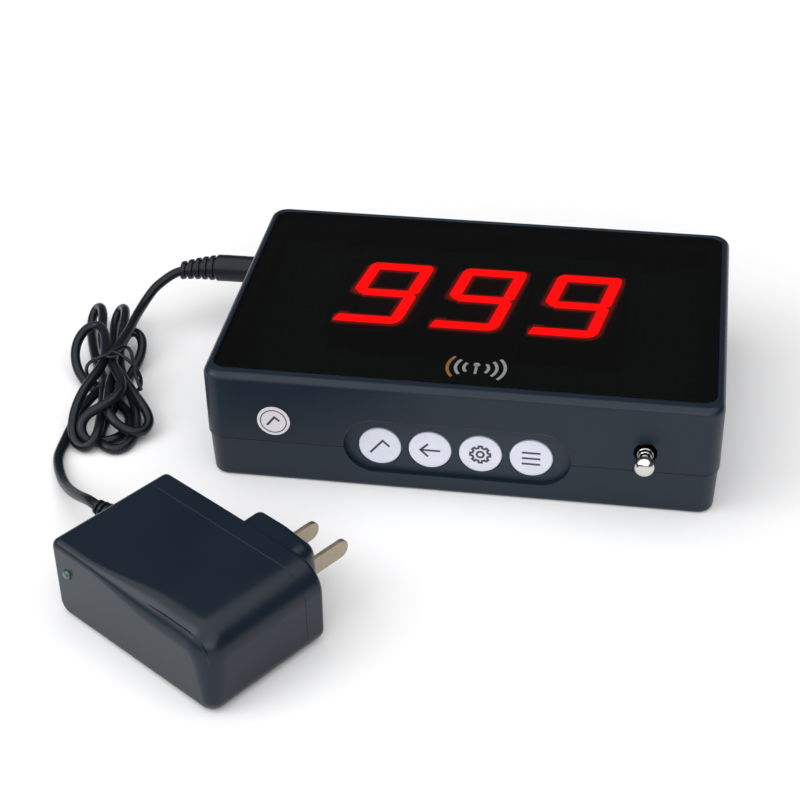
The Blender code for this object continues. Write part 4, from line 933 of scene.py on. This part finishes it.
plug_profile = [(0, 0), (4.3, 0), (4.75, 0.12), (PLUG_RADIUS, 0.6), (PLUG_RADIUS, 6), (PLUG_RADIUS, 12),
                (PLUG_RADIUS, BEND_START), (PLUG_RADIUS, PLUG_PLAIN - 0.4), (4.9, PLUG_PLAIN)]
for rib in range(PLUG_RIBS):
    start = PLUG_PLAIN + rib * PLUG_RIB_PITCH
    crest = PLUG_RADIUS + (TAIL_RADIUS - PLUG_RADIUS) * (rib + 1) / PLUG_RIBS
    groove = crest - 0.9
    plug_profile += [(groove, start + 0.15), (groove, start + 1.0), (crest - 0.12, start + 1.2),
                     (crest, start + 1.45), (crest, start + PLUG_RIB_PITCH - 0.3),
                     (crest - 0.15, start + PLUG_RIB_PITCH)]
tail_end = PLUG_PLAIN + PLUG_RIBS * PLUG_RIB_PITCH
plug_profile += [(2.4, tail_end), (2.0, tail_end), (0, tail_end)]
plug_mesh = placed(turned(plug_profile, 48), facing_left(PLUG_FACE, JACK_Y, JACK_Z))
for vert in plug_mesh.vertices:
    along = max(0.0, (PLUG_FACE - BEND_START - vert.co.x / MM) / (tail_end - BEND_START))
    vert.co.y += TAIL_BEND[0] * MM * along ** 2
    vert.co.z += TAIL_BEND[1] * MM * along ** 2
plug_moulding = fitted("plug_moulding", plug_mesh, pvc, "power_supply", "soft_pvc", "plug_body")

barrel = turned([(1.3, -9.8), (2.55, -9.8), (2.75, -9.6), (2.75, -0.3), (1.3, -0.3)], looped=True)
barrel_turned = fitted("plug_barrel_turned", placed(barrel, facing_left(PLUG_FACE, JACK_Y, JACK_Z)), nickel,
                       "power_supply", "nickel", "plug_barrel")


# ---- Twist tie ----------------------------------------------------------------
# A steel wire in a black PVC skin, wound twice round the hank's waist by hand and
# twisted, with one end left long.

TIE_THICKNESS = 1.3
TIE_PATH = ((-117.0, -21.2, 7.2), (-119.2, -18.2, 9.4), (-121.6, -13.2, 11.4), (-124.0, -6.6, 12.6),
            (-126.0, -4.2, 14.0),
            (-128.2, -7.6, 15.3), (-129.6, -11.6, 15.5), (-131.4, -13.4, 15.4), (-134.6, -14.2, 14.4),
            (-138.6, -13.4, 11.6), (-140.4, -12.4, 6.8), (-138.4, -11.6, 2.2), (-132.0, -12.6, 0.8),
            (-124.0, -14.8, 0.8), (-119.6, -15.4, 2.6), (-118.4, -14.6, 7.0), (-120.8, -13.4, 12.0),
            (-125.6, -12.0, 15.0), (-129.8, -10.4, 15.6), (-131.8, -12.6, 15.3), (-130.0, -14.6, 15.2),
            (-127.8, -12.8, 15.0))

tie_tree, tie_inputs, tie_result = geometry_tree("twist_tie_wire", {"Thickness": 0})
halved = add(tie_tree, "ShaderNodeMath", {0: tie_inputs.outputs["Thickness"], 1: 0.5}, operation="MULTIPLY")
wire_path = add(tie_tree, "GeometryNodeMeshToCurve", {"Mesh": tie_inputs.outputs["Geometry"]})
wire_round = add(tie_tree, "GeometryNodeCurvePrimitiveCircle", {
    "Resolution": 12, "Radius": halved.outputs[0]})
wire = add(tie_tree, "GeometryNodeCurveToMesh", {
    "Curve": wire_path.outputs["Curve"], "Profile Curve": wire_round.outputs["Curve"], "Fill Caps": True})
skinned = add(tie_tree, "GeometryNodeRealizeInstances", {"Geometry": wire.outputs["Mesh"]})
dressed = add(tie_tree, "GeometryNodeSetMaterial", {
    "Geometry": skinned.outputs["Geometry"], "Material": pvc})
tie_tree.links.new(dressed.outputs["Geometry"], tie_result.inputs["Geometry"])

tie_line = eased_line([Vector(point) * MM for point in TIE_PATH], 1.0 * MM)
tie_base = bpy.data.meshes.new("tie_line")
tie_base.from_pydata(tie_line, [(at, at + 1) for at in range(len(tie_line) - 1)], [])
tie_mesh = nodes_mesh("twist_tie", tie_base, tie_tree, {"Thickness": TIE_THICKNESS * MM})
twist_tie = fitted("twist_tie", tie_mesh, None, "power_supply", "soft_pvc", "cord_tie")


# ---- Adaptor ------------------------------------------------------------------
# A plug-in supply: a body and a cover of black ABS, welded together along a fine seam.
# The cover carries the nose block and its two blades; the lead leaves the far end.

ADAPTOR_LENGTH, ADAPTOR_HEIGHT, ADAPTOR_DEPTH = 70.0, 28.0, 37.5
COVER_FACE = 45.3
NOSE_START, NOSE_WIDTH, NOSE_FACE = 35.5, 25.7, 52.3
ADAPTOR_WALL = 2.0
BLADE_U = (42.75, 55.45)
LAMP_U, LAMP_Z = 7.2, 18.0


def adaptor_section(start, end, low, high, top_near, top_far, bottom, steps=18):
    """Points round the adaptor's section with their outward directions, from the bottom up."""
    def bend(middle_u, middle_z, radius, first):
        return [(middle_u + radius * math.cos(turn), middle_z + radius * math.sin(turn),
                 math.cos(turn), math.sin(turn))
                for turn in (math.radians(first + 90 * step / 8) for step in range(9))]

    top = [(end - top_near + (start + top_far - end + top_near) * (step / steps), high, 0, 1)
           for step in range(1, steps)]
    return (bend(end - bottom, low + bottom, bottom, -90)
            + bend(end - top_near, high - top_near, top_near, 0) + top
            + bend(start + top_far, high - top_far, top_far, 90)
            + bend(start + bottom, low + bottom, bottom, 180))


def section_ring(section, v, inset=0.0):
    """The section as a ring at a depth, drawn in by an inset."""
    return [Vector((u - nu * inset, v, z - nz * inset)) for u, z, nu, nz in section]


def eased(value, low, high):
    """0 below low, 1 above high, and a smooth ramp between."""
    share = min(1.0, max(0.0, (value - low) / (high - low)))
    return share * share * (3 - 2 * share)


def rounded_face(section, face, inwards, radius_at, steps=8):
    """Rings round the edge of a face whose rounding varies along the section."""
    rings = []
    for step in range(steps + 1):
        turn = math.pi / 2 * step / steps
        ring = []
        for u, z, nu, nz in section:
            radius = radius_at(u, z)
            inset = radius * (1 - math.sin(turn))
            ring.append(Vector((u - nu * inset, face + inwards * radius * (1 - math.cos(turn)),
                                z - nz * inset)))
        rings.append(ring)
    return rings


adaptor_abs = moulded_abs("adaptor_abs", "#0b1723", "#101e2b", 0.28)
outer_section = adaptor_section(0, ADAPTOR_LENGTH, 0, ADAPTOR_HEIGHT, 9.5, 3.0, 4.6)
inner_section = adaptor_section(ADAPTOR_WALL, ADAPTOR_LENGTH - ADAPTOR_WALL, ADAPTOR_WALL,
                                ADAPTOR_HEIGHT - ADAPTOR_WALL, 7.5, 1.2, 2.6)


def lamp_face_round(u, z):
    """The edge over the lamp's face is tight at the lead's end and fuller at the other."""
    end_round = 2.2 + 2.2 * eased(u, 60, ADAPTOR_LENGTH)
    side_round = 2.4 + 5.2 * eased(u, 16, 50)
    return end_round + (side_round - end_round) * eased(z, 12, 20)


def cover_round(u, z):
    return 2.2 if z < ADAPTOR_HEIGHT / 2 else 1.8


body_rings = rounded_face(outer_section, 0, 1, lamp_face_round) + [
    section_ring(outer_section, v, inset)
    for v, inset in ((12, 0), (25, 0), (ADAPTOR_DEPTH - 0.06, 0), (ADAPTOR_DEPTH + 0.02, 0.09))]
body_rings += [section_ring(inner_section, v) for v in (ADAPTOR_DEPTH + 0.02, ADAPTOR_WALL)]
lamp_hole = placed(turned([(1.8, -3), (1.8, 0), (1.65, 0.2), (1.65, 6)], 24),
                   Matrix.Translation((LAMP_U * MM, 0, LAMP_Z * MM)) @ Matrix.Rotation(-math.pi / 2, 4, "X"))
lead_hole = placed(turned([(2.2, -1), (2.2, 6)], 24),
                   Matrix.Translation((-1 * MM, RELIEF_V, ADAPTOR_MIDDLE_Z))
                   @ Matrix.Rotation(math.pi / 2, 4, "Y"))
body_mesh = placed(carved(lofted(body_rings), (), (lamp_hole, lead_hole)), ADAPTOR_PLACE)
adaptor_body = fitted("adaptor_moulding", body_mesh, adaptor_abs, "power_supply", "adapter_abs", "adapter_body")

cover_rings = [section_ring(outer_section, ADAPTOR_DEPTH + 0.07, 0.09),
               section_ring(outer_section, ADAPTOR_DEPTH + 0.15)]
cover_rings += rounded_face(outer_section, COVER_FACE, -1, cover_round)[::-1]
nose_section = adaptor_section(NOSE_START, NOSE_START + NOSE_WIDTH, 0.3, ADAPTOR_HEIGHT - 0.3, 4.6, 2.6, 2.6)


def nose_round(u, z):
    """The nose's edge is fuller at its upper near shoulder."""
    return 2.2 if z < ADAPTOR_HEIGHT / 2 else 2.2 + 2.0 * eased(u, 46, 57)


nose_rings = ([section_ring(nose_section, COVER_FACE - 3.5), section_ring(nose_section, COVER_FACE + 0.8)]
              + rounded_face(nose_section, NOSE_FACE, -1, nose_round)[::-1])
blade_slots = []
for u in BLADE_U:
    blade_slots.append(placed(lofted([rounded_ring(2.1, 6.95, 0.3, z, steps=3) for z in (30, 54)]),
                              Matrix.Translation((u * MM, 0, ADAPTOR_MIDDLE_Z))
                              @ Matrix.Rotation(-math.pi / 2, 4, "X")))
cover_mesh = placed(carved(lofted(cover_rings), (lofted(nose_rings),), blade_slots), ADAPTOR_PLACE)
adaptor_cover = fitted("adaptor_cover_moulding", cover_mesh, adaptor_abs, "power_supply", "adapter_abs",
                       "adapter_cover")


# ---- Blades -------------------------------------------------------------------
# Two flat blades, punched from brass strip and nickel-plated, with rounded tips.
# They are pressed into the cover's nose block and held by its plastic.

BLADE_TIP, BLADE_ROOT, BLADE_HALF = 68.8, 29.3, 3.175
blade_nickel = nickel_plate("blade_nickel", "#9c8d78", 0.34)
for number, u in enumerate(BLADE_U, 1):
    outline = [(-BLADE_HALF, BLADE_ROOT), (BLADE_HALF, BLADE_ROOT),
        *corner_arc(0, BLADE_TIP - 3.1, BLADE_HALF, 0, 180, 14)]
    rings = []
    for height, inset in ((-0.75, 0.18), (-0.57, 0.0), (0.57, 0.0), (0.75, 0.18)):
        shrink = 1 - inset / BLADE_HALF
        rings.append([Vector((
            u + height, BLADE_TIP - 3.1 + (v - BLADE_TIP + 3.1) * (shrink if v > BLADE_TIP - 3.1 else 1),
            ADAPTOR_MIDDLE_Z / MM + z * shrink)) for z, v in outline])
    fitted(f"blade_{number}", placed(lofted(rings), ADAPTOR_PLACE), blade_nickel,
                                 "power_supply", "nickel", f"plug_blade_{number}")


# ---- Strain relief and lamp ---------------------------------------------------
# A ribbed sleeve of PVC, moulded over the lead and clipped into the adaptor's end, and
# a 3 mm green lamp in the adaptor's face.

relief_profile = [(0, 0), (4.5, 0), (4.5, 3.4), (4.35, 3.9)]
for rib in range(5):
    start = 4.0 + rib * 2.3
    crest = 4.5 + (2.6 - 4.5) * (rib + 1) / 5
    relief_profile += [(crest - 0.7, start + 0.15), (crest - 0.7, start + 0.85), (crest, start + 1.1),
                       (crest, start + 2.05), (crest - 0.2, start + 2.3)]
relief_profile += [(1.8, 15.5), (0, 15.5)]
relief_place = ADAPTOR_PLACE @ facing_left(-0.3, RELIEF_V / MM, ADAPTOR_MIDDLE_Z / MM)
relief = fitted("strain_relief", placed(turned(relief_profile, 40), relief_place), pvc, "power_supply",
                "soft_pvc", "adapter_strain_relief")


def green_lamp_epoxy():
    """Green cast epoxy, unlit: dark, deep and glossy like a boiled sweet."""
    made, tree = new_material("green_lamp_epoxy")
    _, tint = mottle(tree, 1.5, "#12382c", "#2a6650")
    return finished(made, tree, {
        "Base Color": tint, "Roughness": 0.12, "IOR": 1.54, "Coat Weight": 0.5, "Coat Roughness": 0.05})


lamp_profile = [(0, -6), (1.5, -6), (1.5, -0.1), (1.42, 0.35), (1.2, 0.75), (0.85, 1.03), (0.45, 1.17),
                (0, 1.2)]
lamp_mesh = placed(turned(lamp_profile, 32), ADAPTOR_PLACE @ facing_front(LAMP_U, 0, LAMP_Z))
lamp = fitted("green_lamp_dome", lamp_mesh, green_lamp_epoxy(), "power_supply", "green_lamp", "adapter_led")


# ---- Parts inside -------------------------------------------------------------
# These keep the frame's own shapes: boards, moulded parts, cans and windings behind the
# shells. Each gets the finish of what it is.

def glass_epoxy_laminate():
    """Glass-epoxy board: green solder mask over a faint weave of glass cloth."""
    made, tree = new_material("glass_epoxy_laminate")
    place = add(tree, "ShaderNodeTexCoord").outputs["Object"]
    # The cloth's threads are 0.25 mm apart; they are drawn at 0.6 mm so that they show.
    threads = {"Vector": place, "Scale": 1 / (2 * math.pi * 0.6 * MM) / 3.2}
    warp = add(tree, "ShaderNodeTexWave", threads, bands_direction="X")
    weft = add(tree, "ShaderNodeTexWave", threads, bands_direction="Y")
    cloth = add(tree, "ShaderNodeMath", {0: warp.outputs["Fac"], 1: weft.outputs["Fac"]},
                operation="MULTIPLY")
    tint = add(tree, "ShaderNodeMix", {0: cloth.outputs[0], 6: colour("#12402a"), 7: colour("#1b5638")},
               data_type="RGBA")
    return finished(made, tree, {"Base Color": tint.outputs[2], "Roughness": 0.35})


def mottled(name, low, high, gloss, grain, metallic=0.0):
    """A finish for a small part inside, a little uneven at the size of its own grain."""
    made, tree = new_material(name)
    _, tint = mottle(tree, grain, low, high, 3.0)
    return finished(made, tree, {
        "Base Color": tint, "Roughness": gloss, "Metallic": metallic})


jack_black = black_moulding("jack_black", "#0b0b0d", 0.45)
INSIDE = (
    (glass_epoxy_laminate(), ("main_board", "key_board", "adapter_board")),
    (display_black, ("digit_1_housing", "digit_2_housing", "digit_3_housing")),
    (jack_black, ("power_jack", "aerial_bracket", "controller_chip", "sounder", "enter_switch",
                  "move_switch", "set_switch", "function_switch")),
    (mottled("acetal_plunger", "#8c3a2e", "#a04436", 0.4, 2), ("enter_plunger", "move_plunger", "set_plunger",
                                                                "function_plunger")),
    (mottled("tinned_can", "#a9acae", "#c4c6c8", 0.35, 3, 1.0), ("receiver_module",)),
    (mottled("capacitor_sleeve", "#16222e", "#22303e", 0.3, 4), ("power_capacitor", "adapter_capacitor")),
    (mottled("winding_tape", "#b48c1e", "#c8a02c", 0.5, 5), ("adapter_transformer",)),
    (nickel, ("power_jack_pin",)))
for finish, names in INSIDE:
    for name in names:
        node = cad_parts[name]
        node.data.materials.clear()
        node.data.materials.append(finish)
